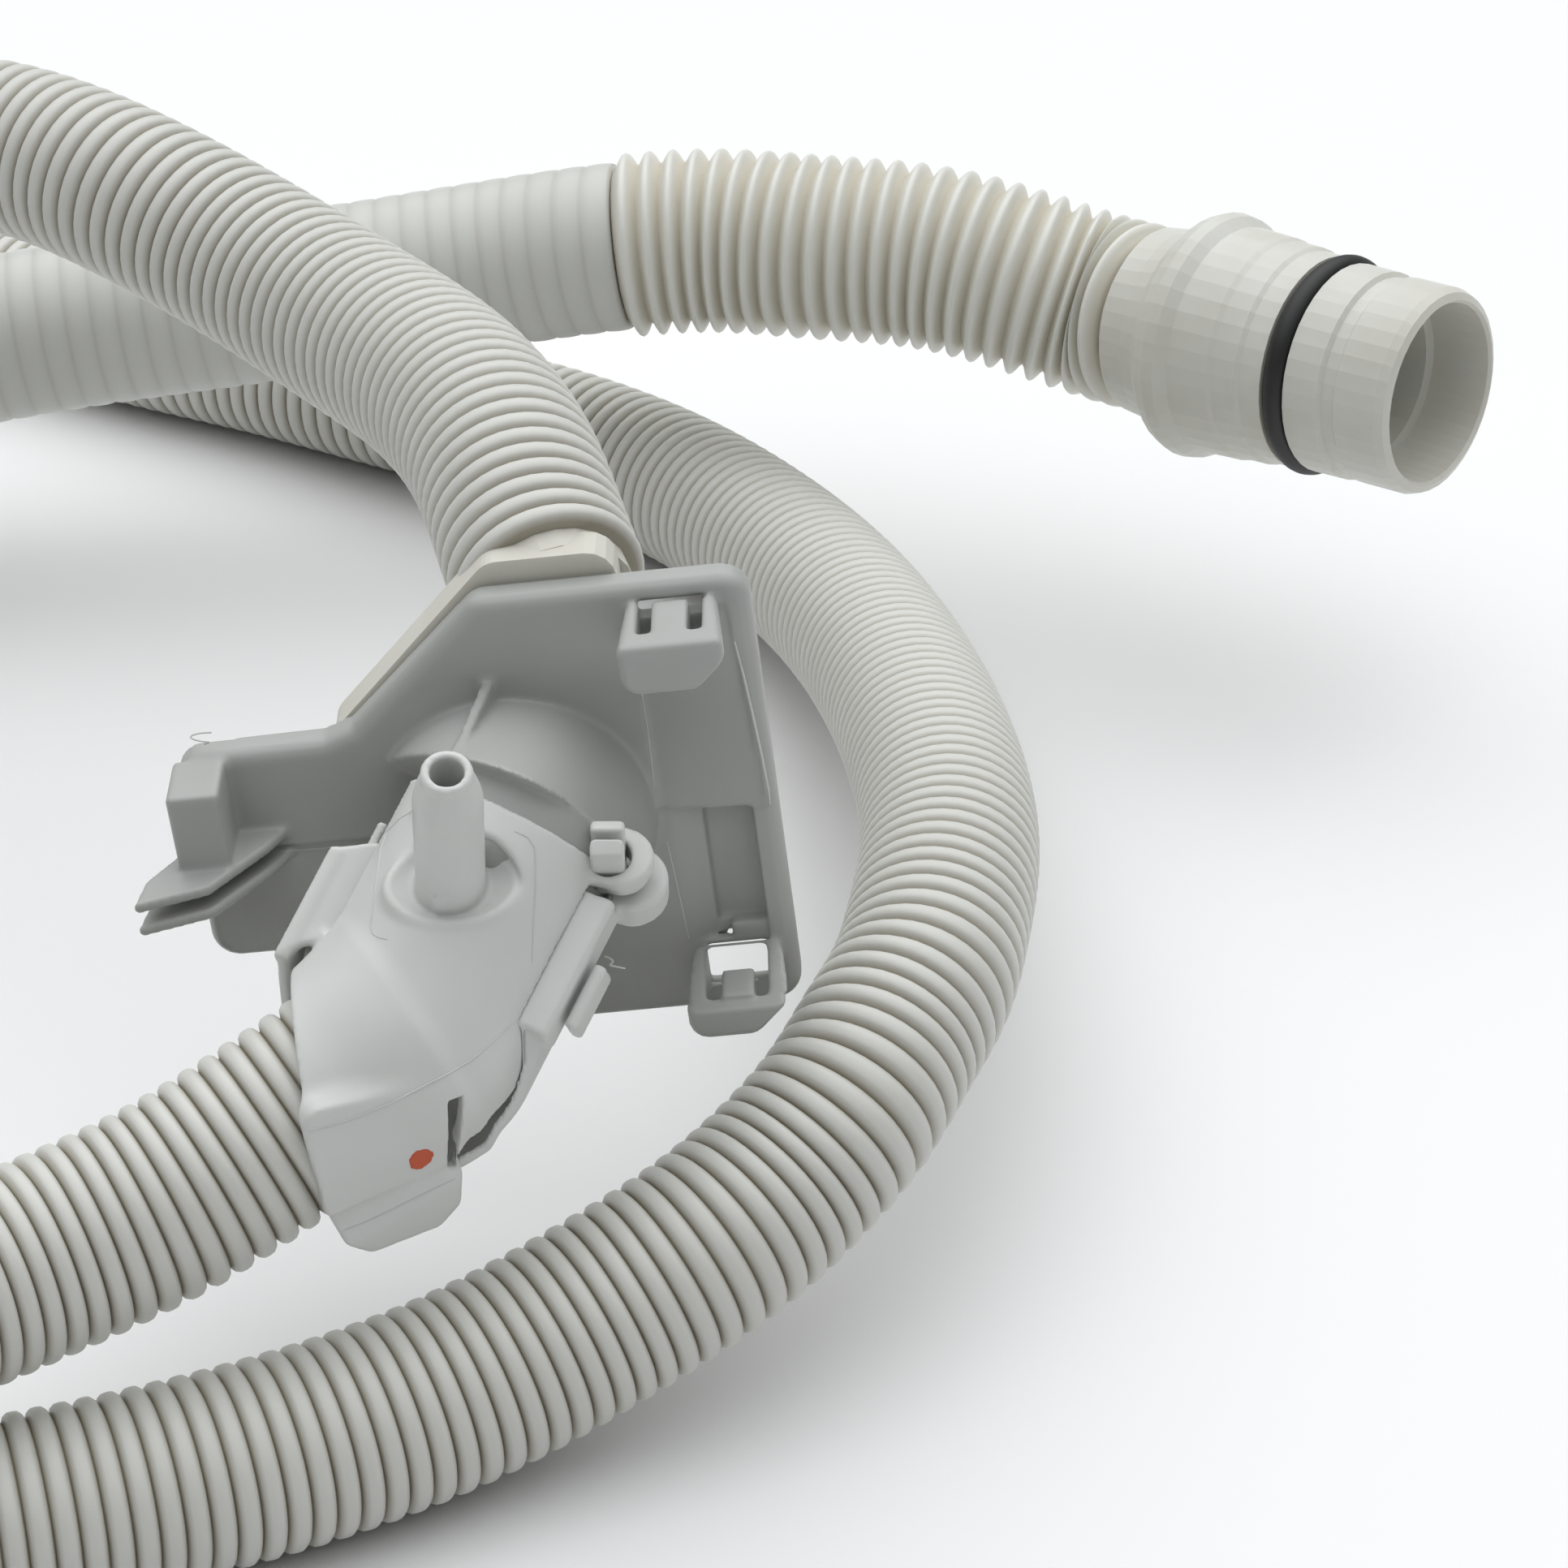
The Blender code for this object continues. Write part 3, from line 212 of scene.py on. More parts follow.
def smooth_curve(points):
    """Points 1 mm apart on a smooth curve through a route."""
    knots = np.array(points, float) * MM
    legs = np.linalg.norm(np.diff(knots, axis=0), axis=1)
    at = np.concatenate([[0.0], np.cumsum(legs)])
    count = len(knots)
    system = np.eye(count)
    rhs = np.zeros((count, 3))
    for i in range(1, count - 1):
        system[i, i - 1:i + 2] = legs[i - 1], 2 * (legs[i - 1] + legs[i]), legs[i]
        rhs[i] = 6 * ((knots[i + 1] - knots[i]) / legs[i] - (knots[i] - knots[i - 1]) / legs[i - 1])
    bend = np.linalg.solve(system, rhs)
    fine = np.linspace(0.0, at[-1], 40 * count)
    leg = np.clip(np.searchsorted(at, fine, side="right") - 1, 0, count - 2)
    before = (fine - at[leg])[:, None]
    after = (at[leg + 1] - fine)[:, None]
    h = legs[leg][:, None]
    curve = (bend[leg] * after ** 3 + bend[leg + 1] * before ** 3) / (6 * h)
    curve += (knots[leg] / h - bend[leg] * h / 6) * after
    curve += (knots[leg + 1] / h - bend[leg + 1] * h / 6) * before
    run = np.concatenate([[0.0], np.cumsum(np.linalg.norm(np.diff(curve, axis=0), axis=1))])
    wanted = np.linspace(0.0, run[-1], round(run[-1] / ROUTE_STEP) + 1)
    return np.stack([np.interp(wanted, run, curve[:, axis]) for axis in range(3)], axis=1)


def stretch(curve, start, end):
    """The part of a curve between two distances along it."""
    run = np.concatenate([[0.0], np.cumsum(np.linalg.norm(np.diff(curve, axis=0), axis=1))])
    inside = curve[(run > start + 1e-6) & (run < end - 1e-6)]
    ends = [[np.interp(s, run, curve[:, axis]) for axis in range(3)] for s in (start, end)]
    return np.vstack([[ends[0]], inside, [ends[1]]])


def run_length(curve):
    return float(np.linalg.norm(np.diff(curve, axis=0), axis=1).sum())


def poly_line(name, places):
    """A curve of straight legs through places in metres."""
    data = bpy.data.curves.new(name, "CURVE")
    data.dimensions = "3D"
    spline = data.splines.new("POLY")
    spline.points.add(len(places) - 1)
    for point, place in zip(spline.points, places):
        point.co = (*place, 1.0)
    return data


def ring_tree(name, profile, per_ring, squeeze):
    """A Geometry Nodes tree that makes a ringed tube along a curve. The profile gives the depth of
    the tube's surface over one ring, from 0 at the valley to 1 at the crest. Squeeze gathers the
    sections towards the valley."""
    tree = bpy.data.node_groups.new(name, "GeometryNodeTree")
    for label, kind in (
        ("Geometry", "NodeSocketGeometry"), ("Radius", "NodeSocketFloat"),
        ("Depth", "NodeSocketFloat"), ("Rings", "NodeSocketInt"), ("Sides", "NodeSocketInt"),
        ("Finish", "NodeSocketMaterial"),
    ):
        tree.interface.new_socket(name=label, in_out="INPUT", socket_type=kind)
    tree.interface.new_socket(name="Geometry", in_out="OUTPUT", socket_type="NodeSocketGeometry")
    entry = tree.nodes.new("NodeGroupInput")
    exit_node = tree.nodes.new("NodeGroupOutput")

    def maths(operation, first, second=None):
        node = tree.nodes.new("ShaderNodeMath")
        node.operation = operation
        for socket, source in zip(node.inputs, (first, second)):
            if source is None:
                continue
            if isinstance(source, (int, float)):
                socket.default_value = source
            else:
                tree.links.new(source, socket)
        return node.outputs[0]

    sections = maths("ADD", maths("MULTIPLY", entry.outputs["Rings"], per_ring), 1)
    line = tree.nodes.new("GeometryNodeMeshLine")
    tree.links.new(sections, line.inputs["Count"])
    index = tree.nodes.new("GeometryNodeInputIndex").outputs[0]
    phase = maths("DIVIDE", index, per_ring)
    within = maths("FRACT", maths("ADD", phase, 1e-4))
    wave = maths("MULTIPLY", maths("SINE", maths("MULTIPLY", phase, 2 * math.pi)), -squeeze)
    share = maths("DIVIDE", maths("ADD", phase, wave), entry.outputs["Rings"])
    here = tree.nodes.new("GeometryNodeSampleCurve")
    here.mode = "FACTOR"
    tree.links.new(entry.outputs["Geometry"], here.inputs["Curves"])
    tree.links.new(share, here.inputs["Factor"])
    place = tree.nodes.new("GeometryNodeSetPosition")
    tree.links.new(line.outputs[0], place.inputs["Geometry"])
    tree.links.new(here.outputs["Position"], place.inputs["Position"])
    path = tree.nodes.new("GeometryNodeMeshToCurve")
    tree.links.new(place.outputs[0], path.inputs["Mesh"])
    shape = tree.nodes.new("ShaderNodeFloatCurve")
    points = shape.mapping.curves[0].points
    while len(points) < len(profile):
        points.new(0.5, 0.5)
    for point, (x, y) in zip(points, profile):
        point.location = (x, y)
        point.handle_type = "VECTOR"
    shape.mapping.update()
    tree.links.new(within, shape.inputs["Value"])
    keep = tree.nodes.new("GeometryNodeStoreNamedAttribute")
    keep.data_type = "FLOAT"
    keep.domain = "POINT"
    keep.inputs["Name"].default_value = "crest"
    tree.links.new(path.outputs[0], keep.inputs["Geometry"])
    tree.links.new(shape.outputs[0], keep.inputs["Value"])
    drop = maths("MULTIPLY", maths("SUBTRACT", 1.0, shape.outputs[0]), entry.outputs["Depth"])
    circle = tree.nodes.new("GeometryNodeCurvePrimitiveCircle")
    circle.inputs["Radius"].default_value = 1.0
    tree.links.new(entry.outputs["Sides"], circle.inputs["Resolution"])
    sweep = tree.nodes.new("GeometryNodeCurveToMesh")
    sweep.inputs["Fill Caps"].default_value = True
    tree.links.new(keep.outputs[0], sweep.inputs["Curve"])
    tree.links.new(circle.outputs[0], sweep.inputs["Profile Curve"])
    tree.links.new(maths("SUBTRACT", entry.outputs["Radius"], drop), sweep.inputs["Scale"])
    real = tree.nodes.new("GeometryNodeRealizeInstances")
    tree.links.new(sweep.outputs[0], real.inputs[0])
    finish = tree.nodes.new("GeometryNodeSetMaterial")
    tree.links.new(real.outputs[0], finish.inputs["Geometry"])
    tree.links.new(entry.outputs["Finish"], finish.inputs["Material"])
    tree.links.new(finish.outputs[0], exit_node.inputs[0])
    return tree


def ringed_hose(name, centre_line, tree, radius, depth, rings, sides, finish):
    """Runs a ring tree along a centre line and keeps the result as a plain mesh."""
    line = add_object(name + "_line", poly_line(name + "_line", centre_line))
    maker = line.modifiers.new("rings", "NODES")
    maker.node_group = tree
    values = {"Radius": radius, "Depth": depth, "Rings": rings, "Sides": sides, "Finish": finish}
    for item in tree.interface.items_tree:
        if item.in_out == "INPUT" and item.name in values:
            maker[item.identifier] = values[item.name]
    bpy.context.view_layer.update()
    depsgraph = bpy.context.evaluated_depsgraph_get()
    mesh = bpy.data.meshes.new_from_object(
        line.evaluated_get(depsgraph), preserve_all_data_layers=True, depsgraph=depsgraph)
    bpy.data.objects.remove(line)
    mesh.name = name
    hose = add_object(name, mesh)
    shell = bmesh.new()
    shell.from_mesh(mesh)
    bmesh.ops.recalc_face_normals(shell, faces=shell.faces)
    shell.to_mesh(mesh)
    shell.free()
    mesh.shade_smooth()
    mesh.set_sharp_from_angle(angle=math.radians(75))
    return hose


def ring_plastic(name, crest_colour, valley_shade_colour, roughness, soft=0.1):
    """Hose plastic: paler and cooler on the crests, warmer and darker in the valleys. The valley
    darkening is painted shade over a warmer tint of the plastic.
    """
    mottled_crest = tuple(c * 0.93 for c in crest_colour)
    made = plastic(
        name, crest_colour, mottled_crest, roughness,
        mottle=0.4, grain_strength=0.25, dirt=0.12, soft=soft)
    tree = made.node_tree
    shader = tree.nodes["Principled BSDF"]
    surface = next(node for node in tree.nodes if node.type == "GROUP")
    height_here = tree.nodes.new("ShaderNodeAttribute")
    height_here.attribute_name = "crest"
    ramp = tree.nodes.new("ShaderNodeMapRange")
    ramp.inputs["From Min"].default_value = 0.1
    ramp.inputs["From Max"].default_value = 0.95
    # Painted shade: the valleys take a darker, warmer colour by crest height. It stands in for the
    # shade between the rings.
    valley_shade_mix = tree.nodes.new("ShaderNodeMix")
    valley_shade_mix.data_type = "RGBA"
    valley_shade_mix.inputs["A"].default_value = (*valley_shade_colour, 1.0)
    wire(tree, height_here.outputs["Fac"], ramp.inputs["Value"])
    wire(tree, ramp.outputs["Result"], valley_shade_mix.inputs["Factor"])
    wire(tree, surface.outputs["Colour"], valley_shade_mix.inputs["B"])
    wire(tree, valley_shade_mix.outputs["Result"], shader.inputs["Base Color"])
    return made


pump_curve = smooth_curve(PUMP_ROUTE)
drain_curve = smooth_curve(DRAIN_ROUTE)
# Its valley colour is painted shade between the rings, over a warmer tint.
hose_plastic = ring_plastic("hose_warm_grey", (0.64, 0.64, 0.60), (0.36, 0.33, 0.265), 0.32)
RING_PROFILE = [
    (0.0, 0.0), (0.1667, 0.66), (0.3333, 0.95), (0.5, 1.0), (0.6667, 0.95), (0.8333, 0.66),
    (1.0, 0.0),
]
hose_rings = ring_tree("corrugated_hose_rings", RING_PROFILE, RING_SECTIONS, RING_SQUEEZE)

DRAIN_START = 2.0 * MM
drain_line = stretch(drain_curve, DRAIN_START, run_length(drain_curve))
drain_hose = ringed_hose(
    "drain_hose", drain_line, hose_rings, HOSE_OD / 2, RING_DEPTH,
    round(run_length(drain_line) / HOSE_PITCH), 38, hose_plastic,
)
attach(drain_hose, "root")
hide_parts("drain_side_hose")

BELLOWS_LENGTH = 94.5 * MM
SLEEVE_LENGTH = 178.0 * MM
pump_line = stretch(pump_curve, BELLOWS_LENGTH + SLEEVE_LENGTH + SEAT_GAP, run_length(pump_curve))
pump_hose = ringed_hose(
    "pump_hose", pump_line, hose_rings, HOSE_OD / 2, RING_DEPTH,
    round(run_length(pump_line) / HOSE_PITCH), 44, hose_plastic,
)
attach(pump_hose, "root")
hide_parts("pump_side_hose")

# Smooth sleeve: a long grey vinyl tube shrunk over the joint of the bellows and the hose. Faint
# lines from the rings beneath show through it.
SLEEVE_OD = 29.4 * MM
SLEEVE_LINE_DEPTH = 0.28 * MM
SLEEVE_LINES = 38
SLEEVE_PROFILE = [(0.0, 0.0), (0.2, 0.75), (0.5, 1.0), (0.8, 0.75), (1.0, 0.0)]
SMOOTH_SIDES = 72
# Its valley colour is painted shade in the faint lines.
sleeve_plastic = ring_plastic("sleeve_grey_vinyl", (0.60, 0.605, 0.57), (0.52, 0.52, 0.48), 0.34)
sleeve_rings = ring_tree("sleeve_lines", SLEEVE_PROFILE, RING_SECTIONS, RING_SQUEEZE)
sleeve_line = stretch(pump_curve, BELLOWS_LENGTH + SEAT_GAP, BELLOWS_LENGTH + SLEEVE_LENGTH)
sleeve = ringed_hose(
    "smooth_sleeve_tube", sleeve_line, sleeve_rings, SLEEVE_OD / 2, SLEEVE_LINE_DEPTH,
    SLEEVE_LINES, SMOOTH_SIDES, sleeve_plastic,
)
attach(sleeve, "root")
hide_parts("smooth_sleeve")

# Bellows: a soft cream hose of rounded folds, blown as one piece and pushed on the connector's
# tail.
BELLOWS_OD = 32.2 * MM
FOLD_DEPTH = 2.4 * MM
FOLDS = 25
FOLD_PROFILE = [
    (0.0, 0.0), (0.125, 0.22), (0.25, 0.6), (0.375, 0.9), (0.5, 1.0), (0.625, 0.9), (0.75, 0.6),
    (0.875, 0.22), (1.0, 0.0),
]
# Its valley colour is painted shade in the folds, over a warmer tint.
bellows_plastic = ring_plastic(
    "bellows_cream", (0.72, 0.72, 0.67), (0.64, 0.61, 0.52), 0.30, soft=0.15)
bellows_folds = ring_tree("bellows_folds", FOLD_PROFILE, 8, 0.0)
bellows_line = stretch(pump_curve, 0.0, BELLOWS_LENGTH)
bellows = ringed_hose(
    "bellows", bellows_line, bellows_folds, BELLOWS_OD / 2, FOLD_DEPTH, FOLDS, SMOOTH_SIDES,
    bellows_plastic,
)
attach(bellows, "root")
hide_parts("bellows_hose")

# Bracket plate: one moulding in cool grey plastic. Its shape is set by distances to simple forms,
# joined with the small fillets that a mould leaves, and then turned into a closed skin. Made in the
# plate's own frame: u across, v out of the front face, w up, in millimetres.
BRACKET_PLACING = Matrix.Translation(Vector((71.0, -90.0, 78.0)) * MM)
BRACKET_PLACING @= Matrix.Rotation(math.radians(-6.5), 4, "Y")
BRACKET_PLACING @= Matrix.Diagonal((1.0, -1.0, 1.0, 1.0))
BRACKET_CELL = 0.46


def field_grid(low, high, cell):
    """Coordinates of a block of points, as three arrays that spread over each other."""
    axes = [np.arange(a, b + cell, cell, dtype=np.float32) for a, b in zip(low, high)]
    return np.meshgrid(*axes, indexing="ij", sparse=True)


def skin(name, field, low, cell, placing=None):
    """A closed mesh round the negative part of a field of distances."""
    inside = field < 0
    shape = tuple(n - 1 for n in field.shape)
    corners = [(i, j, k) for i in (0, 1) for j in (0, 1) for k in (0, 1)]

    def at_corner(values, corner):
        return values[tuple(slice(c, c + n) for c, n in zip(corner, shape))]

    filled = sum(at_corner(inside, corner).astype(np.int8) for corner in corners)
    active = (filled > 0) & (filled < 8)
    number = np.full(shape, -1, np.int64)
    number[active] = np.arange(active.sum())
    cells = np.argwhere(active)
    total = np.zeros((len(cells), 3))
    crossings = np.zeros(len(cells))
    for first in corners:
        for axis in range(3):
            if first[axis]:
                continue
            second = tuple(1 if a == axis else first[a] for a in range(3))
            fa = field[tuple((cells + first).T)].astype(float)
            fb = field[tuple((cells + second).T)].astype(float)
            crossed = (fa < 0) != (fb < 0)
            share = fa[crossed] / (fa[crossed] - fb[crossed])
            point = np.tile(np.array(first, float), (int(crossed.sum()), 1))
            point[:, axis] += share
            total[crossed] += point
            crossings[crossed] += 1
    points = np.array(low) + cell * (cells + total / crossings[:, None])
    faces = []
    for axis in range(3):
        b, c = (axis + 1) % 3, (axis + 2) % 3
        lower, upper = [slice(None)] * 3, [slice(None)] * 3
        lower[axis], upper[axis] = slice(0, -1), slice(1, None)
        for a in (b, c):
            lower[a] = upper[a] = slice(1, -1)
        before, beyond = inside[tuple(lower)], inside[tuple(upper)]
        offset = np.array([1 if a != axis else 0 for a in range(3)])
        for outward, chosen in ((True, before & ~beyond), (False, ~before & beyond)):
            node = np.argwhere(chosen) + offset
            ring = []
            for db, dc in ((1, 1), (0, 1), (0, 0), (1, 0)):
                cell_at = node.copy()
                cell_at[:, b] -= db
                cell_at[:, c] -= dc
                ring.append(number[tuple(cell_at.T)])
            faces.append(np.stack(ring if outward else ring[::-1], axis=1))
    mesh = bpy.data.meshes.new(name)
    mesh.from_pydata(points * MM, [], np.concatenate(faces).tolist())
    if placing is not None:
        mesh.transform(placing)
        if placing.determinant() < 0:
            mesh.flip_normals()
    mesh.shade_smooth()
    return add_object(name, mesh)


def fuse(a, b, fillet=0.8):
    """Two forms joined, with a fillet between them."""
    share = np.clip(0.5 + 0.5 * (b - a) / fillet, 0, 1)
    return b + (a - b) * share - fillet * share * (1 - share)


def carve(a, b, fillet=0.5):
    """The first form with the second cut out of it."""
    return -fuse(-a, b, fillet)


def outside_distance(parts):
    """Distance to the corner where several flat limits meet."""
    beyond = sum(np.maximum(part, 0) ** 2 for part in parts)
    within = parts[0]
    for part in parts[1:]:
        within = np.maximum(within, part)
    return np.sqrt(beyond) + np.minimum(within, 0)


def block(p, low, high, corner=0.5):
    """A box between two corners, with its edges rounded."""
    parts = [
        np.abs(p[i] - (low[i] + high[i]) / 2) - (high[i] - low[i]) / 2 + corner
        for i in range(3)
    ]
    return outside_distance(parts) - corner


def outline_distance(x, y, points):
    """Distance to a closed outline in a plane, negative inside it."""
    nearest = None
    sign = 1.0
    for i, (ax, ay) in enumerate(points):
        bx, by = points[i - 1]
        ex, ey = bx - ax, by - ay
        wx, wy = x - ax, y - ay
        share = np.clip((wx * ex + wy * ey) / (ex * ex + ey * ey), 0, 1)
        gap = (wx - ex * share) ** 2 + (wy - ey * share) ** 2
        nearest = gap if nearest is None else np.minimum(nearest, gap)
        above, under, turn = y >= ay, y < by, ex * wy > ey * wx
        sign = sign * np.where((above & under & turn) | (~above & ~under & ~turn), -1.0, 1.0)
    return sign * np.sqrt(nearest)


def rod(p, start, end, radius):
    """A round bar with flat ends."""
    start, end = np.array(start, float), np.array(end, float)
    axis = end - start
    length = np.linalg.norm(axis)
    axis = axis / length
    q = [p[i] - start[i] for i in range(3)]
    along = q[0] * axis[0] + q[1] * axis[1] + q[2] * axis[2]
    across = np.sqrt(np.maximum(q[0] ** 2 + q[1] ** 2 + q[2] ** 2 - along ** 2, 0))
    return outside_distance([across - radius, np.abs(along - length / 2) - length / 2])


def ball(p, centre, radius):
    return np.sqrt(sum((p[i] - centre[i]) ** 2 for i in range(3))) - radius


bracket_low = (-52.0, -7.0, -42.0)
plate_points = field_grid(bracket_low, (42.0, 28.0, 34.0), BRACKET_CELL)
u, v, w = plate_points
PLATE_CORNER = 4.0
RIM_DEPTH = 4.6
RIM_WALL = 2.0
FRONT_FILLET = 2.2
plate_corners = [
    (34.8, 26.8), (3.2, 26.8), (-9.0, 15.4), (-15.5, 9.3), (-21.0, 7.2), (-38.6, 6.8),
    (-38.6, -18.6), (-32.5, -18.6), (-17.0, -34.4), (34.8, -34.4),
]
edge = outline_distance(u, w, plate_corners) - PLATE_CORNER
plate = outside_distance([edge + FRONT_FILLET, v + FRONT_FILLET]) - FRONT_FILLET
plate = np.maximum(plate, -RIM_DEPTH - v)
plate = np.maximum(plate, -np.maximum(edge + RIM_WALL, v + FRONT_FILLET))
step = w + 4.6 + 0.09 * np.maximum(u - 22.0, 0)
lower_area = np.maximum(np.maximum(edge + 1.2, step), np.maximum(-0.7 - v, u - 35.2))
upper_panel = np.maximum(
    np.maximum(22.5 - u, u - 36.4 + 0.06 * (w - 10)), np.maximum(-step, w - 27.0))
plate = np.minimum(plate, block(plate_points, (25.6, -RIM_DEPTH, -27.0), (37.2, -1.6, -4.0)))
plate = np.maximum(plate, -lower_area)
plate = np.maximum(plate, -np.maximum(upper_panel, -0.35 - v))
pocket = block(plate_points, (28.3, -3.4, -24.7), (35.1, 4.0, -5.7), 0.6)
slope = np.maximum(np.maximum(24.4 - u, u - 30.0), np.maximum(-27.2 - w, w + 5.6))
slope = np.maximum(slope, -0.7 - 0.33 * np.maximum(u - 24.4, 0) - v)
plate = carve(plate, np.minimum(pocket, slope), 0.5)
boss_r = np.sqrt((u - 2.4 + 0.06 * v) ** 2 + (w + 4.3 - 0.41 * v) ** 2)
up_leg = -0.44 * (u - 1.87) + 0.639 * (v - 14.0) - 0.571 * (w + 1.22)
cone = np.maximum(boss_r - (19.6 - 0.29 * v), np.maximum(up_leg + 7.2, -1.0 - v))
COLLAR_R = 15.2
collar = rod(plate_points, (6.1, 8.7, 3.5), (0.0, 16.3, -3.6), COLLAR_R)
boss = fuse(cone, collar, 0.9)
boss = np.maximum(boss, np.maximum(-0.5 - v, v - 25.5))
rib = block(
    [u - 0.33 * (6.0 - v) * 0.75 + 0.4, v, w], (0.2, -0.5, 8.0), (1.7, 15.0, 18.9), 0.4)
rib = np.maximum(rib, w - 18.7 + 0.13 * v)
boss = fuse(boss, rib, 0.7)
plate = fuse(plate, boss, 0.4)


def clip(cu, cw, chamfer, through):
    """A latch like a small bucket, with a tongue between its two slots."""
    widen = 0.08 * v
    body = block(
        [np.abs(u - cu) - widen, v, w - cw], (-6.9, -0.5, -3.9), (6.2, 12.8, 3.7), 1.3)
    right = ((u - cu - 6.9) - (w - cw + 3.9) + chamfer) * 0.7071
    left = (-(u - cu + 6.9) - (w - cw + 3.9) + 1.8) * 0.7071
    body = outside_distance([body + 0.5, np.maximum(right, left) + 0.5]) - 0.5
    if through:
        body = np.maximum(body, w - cw - 3.7 + 0.22 * v)
        well = block([u - cu, v, w - cw], (-4.4, 0.4, -9.0), (4.2, 10.2, 9.0), 0.8)
        tongue = block([u - cu, v, w - cw], (-2.3, 4.4, -3.2), (2.3, 11.0, 2.2), 0.5)
        return fuse(carve(body, well, 0.6), tongue, 0.5)
    for slot_at in (-3.5, 3.3):
        slot = np.maximum(np.abs(u - cu - slot_at) - 0.95, np.maximum(-1.6 - (w - cw), 0.2 - v))
        slot = np.maximum(slot, v - 8.6)
        body = carve(body, slot, 0.5)
    return body


plate = fuse(plate, clip(28.2, 25.0, 4.2, False), 0.6)
plate = np.maximum(plate, -block(plate_points, (23.6, -9.0, 26.2), (33.0, 0.6, 28.4), 0.3))
plate = fuse(plate, clip(30.5, -31.0, 5.0, True), 0.6)
plate = np.maximum(plate, -block(plate_points, (26.1, -9.0, -34.0), (34.7, 1.2, -28.0), 0.6))
hook = block(plate_points, (-42.9, -1.0, -2.2), (-35.6, 9.2, 10.2), 0.7)
jaw_plan = [
    (-28, -1.2), (-31, 4), (-38.5, 13.5), (-48.5, 16.5), (-47.5, 10.5), (-43.5, 4.5), (-42, -1.2)]
jaw_area = outline_distance(u, v, jaw_plan)
JAW_HALF = 0.75
for jaw_w in (-2.25, -5.95):
    jaw = outside_distance([jaw_area + 0.4, np.abs(w - jaw_w) - JAW_HALF + 0.4]) - 0.4
    hook = fuse(hook, jaw, 0.6)
plate = fuse(plate, hook, 0.8)
bracket = skin("bracket", plate, bracket_low, BRACKET_CELL, BRACKET_PLACING)
# This grey is darker than the hood's. Besides the plate's own tone, it holds painted shade for the
# front face, which faces away from the light.
bracket.data.materials.append(plastic(
    "bracket_grey", (0.40, 0.408, 0.395), (0.355, 0.355, 0.33), 0.36, 0.45, 0.35, 0.18, 0.06))
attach(bracket, "root")
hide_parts("bracket_plate")

# Elbow hood: the upper half of the elbow, with the nipple, its sunk foot, the hanging tongue, the
# upper lug and the wing at the left moulded on. Made as the bracket is, in the part's frame in
# millimetres.
ELBOW_CELL = 0.4
START = np.array((73.0, -104.0, 77.0))
BEND = np.array((61.0, -121.5, 60.0))
HOSE_WAY = np.array((-0.82, -0.42, -0.39)) / np.linalg.norm((0.82, 0.42, 0.39))
LEG_WAY = (BEND - START) / np.linalg.norm(BEND - START)
RISE = np.array((0.0, -0.45, 0.89)) / np.linalg.norm((0.45, 0.89))
HOOD_R = 16.0
HOOD_START = -3.5
HOLLOW_R = 14.3
HOLLOW_START = -8.0
HOOD_BACK = 107.5
TAB_AT = 15.6
TAB_WALL = 2.3
elbow_low = (36.0, -148.0, 32.0)
elbow_points = field_grid(elbow_low, (101.0, -98.0, 112.0), ELBOW_CELL)
x, y, z = elbow_points
risen = y * RISE[1] + z * RISE[2]


def bent(radius, from_start, along_hose=40.0):
    """The solid bend of one radius, round the leg and then along the hose."""
    leg = rod(elbow_points, START + LEG_WAY * from_start, BEND, radius)
    foot = rod(elbow_points, BEND, BEND + HOSE_WAY * along_hose, radius)
    return fuse(np.minimum(leg, ball(elbow_points, BEND, radius)), foot, 4.0)


def beyond(point, way):
    """Distance past a plane, along its heading."""
    return (x - point[0]) * way[0] + (y - point[1]) * way[1] + (z - point[2]) * way[2]


MOUTH = np.array((49.0, -130.0, 53.0))
MOUTH_WAY = np.array((-0.98, -0.10, -0.15))
PART_WAY = np.array((-0.12, -0.643, 0.756)) / np.linalg.norm((0.12, 0.643, 0.756))
PART_HEIGHT = 7.0
mouth_side = beyond(MOUTH, MOUTH_WAY)
hollow = bent(HOLLOW_R, HOLLOW_START, 50.0)
hood = bent(HOOD_R, HOOD_START)
hood = np.maximum(hood, mouth_side)
front_way = np.array((0.419, -0.908, 0.0))
in_front = beyond(BEND, front_way)
side_cut = beyond(START + LEG_WAY * 20.3, -LEG_WAY)
over_parting = beyond(BEND, PART_WAY) - PART_HEIGHT
hood = np.maximum(hood, HOOD_BACK - risen)
hood = np.maximum(hood, np.minimum(side_cut, -over_parting))
hood = carve(hood, hollow, 0.3)
tab_way = np.array((0.908, 0.419, 0.0))
tab_from = BEND + front_way * TAB_AT


def through_pixel(px, py):
    """The line of sight of one place in the photograph."""
    turn = camera.rotation_euler.to_matrix()
    middle_pixel = PHOTO_SIDE / 2
    return np.array(turn @ Vector(
        ((px - middle_pixel) / FOCAL_PIXELS, (middle_pixel - py) / FOCAL_PIXELS, -1.0)))


def on_plane(pixel, point, normal):
    """Where the line of sight of one place in the photograph meets a plane."""
    eye = np.array(camera.location) / MM
    way = through_pixel(*pixel)
    return eye + way * ((point - eye) @ normal) / (way @ normal)


def tab_plan(pixels):
    """An outline seen in the photograph, laid in the tongue's plane."""
    places = [on_plane(pixel, tab_from, front_way) for pixel in pixels]
    return [((place - BEND) @ tab_way, place[2]) for place in places]


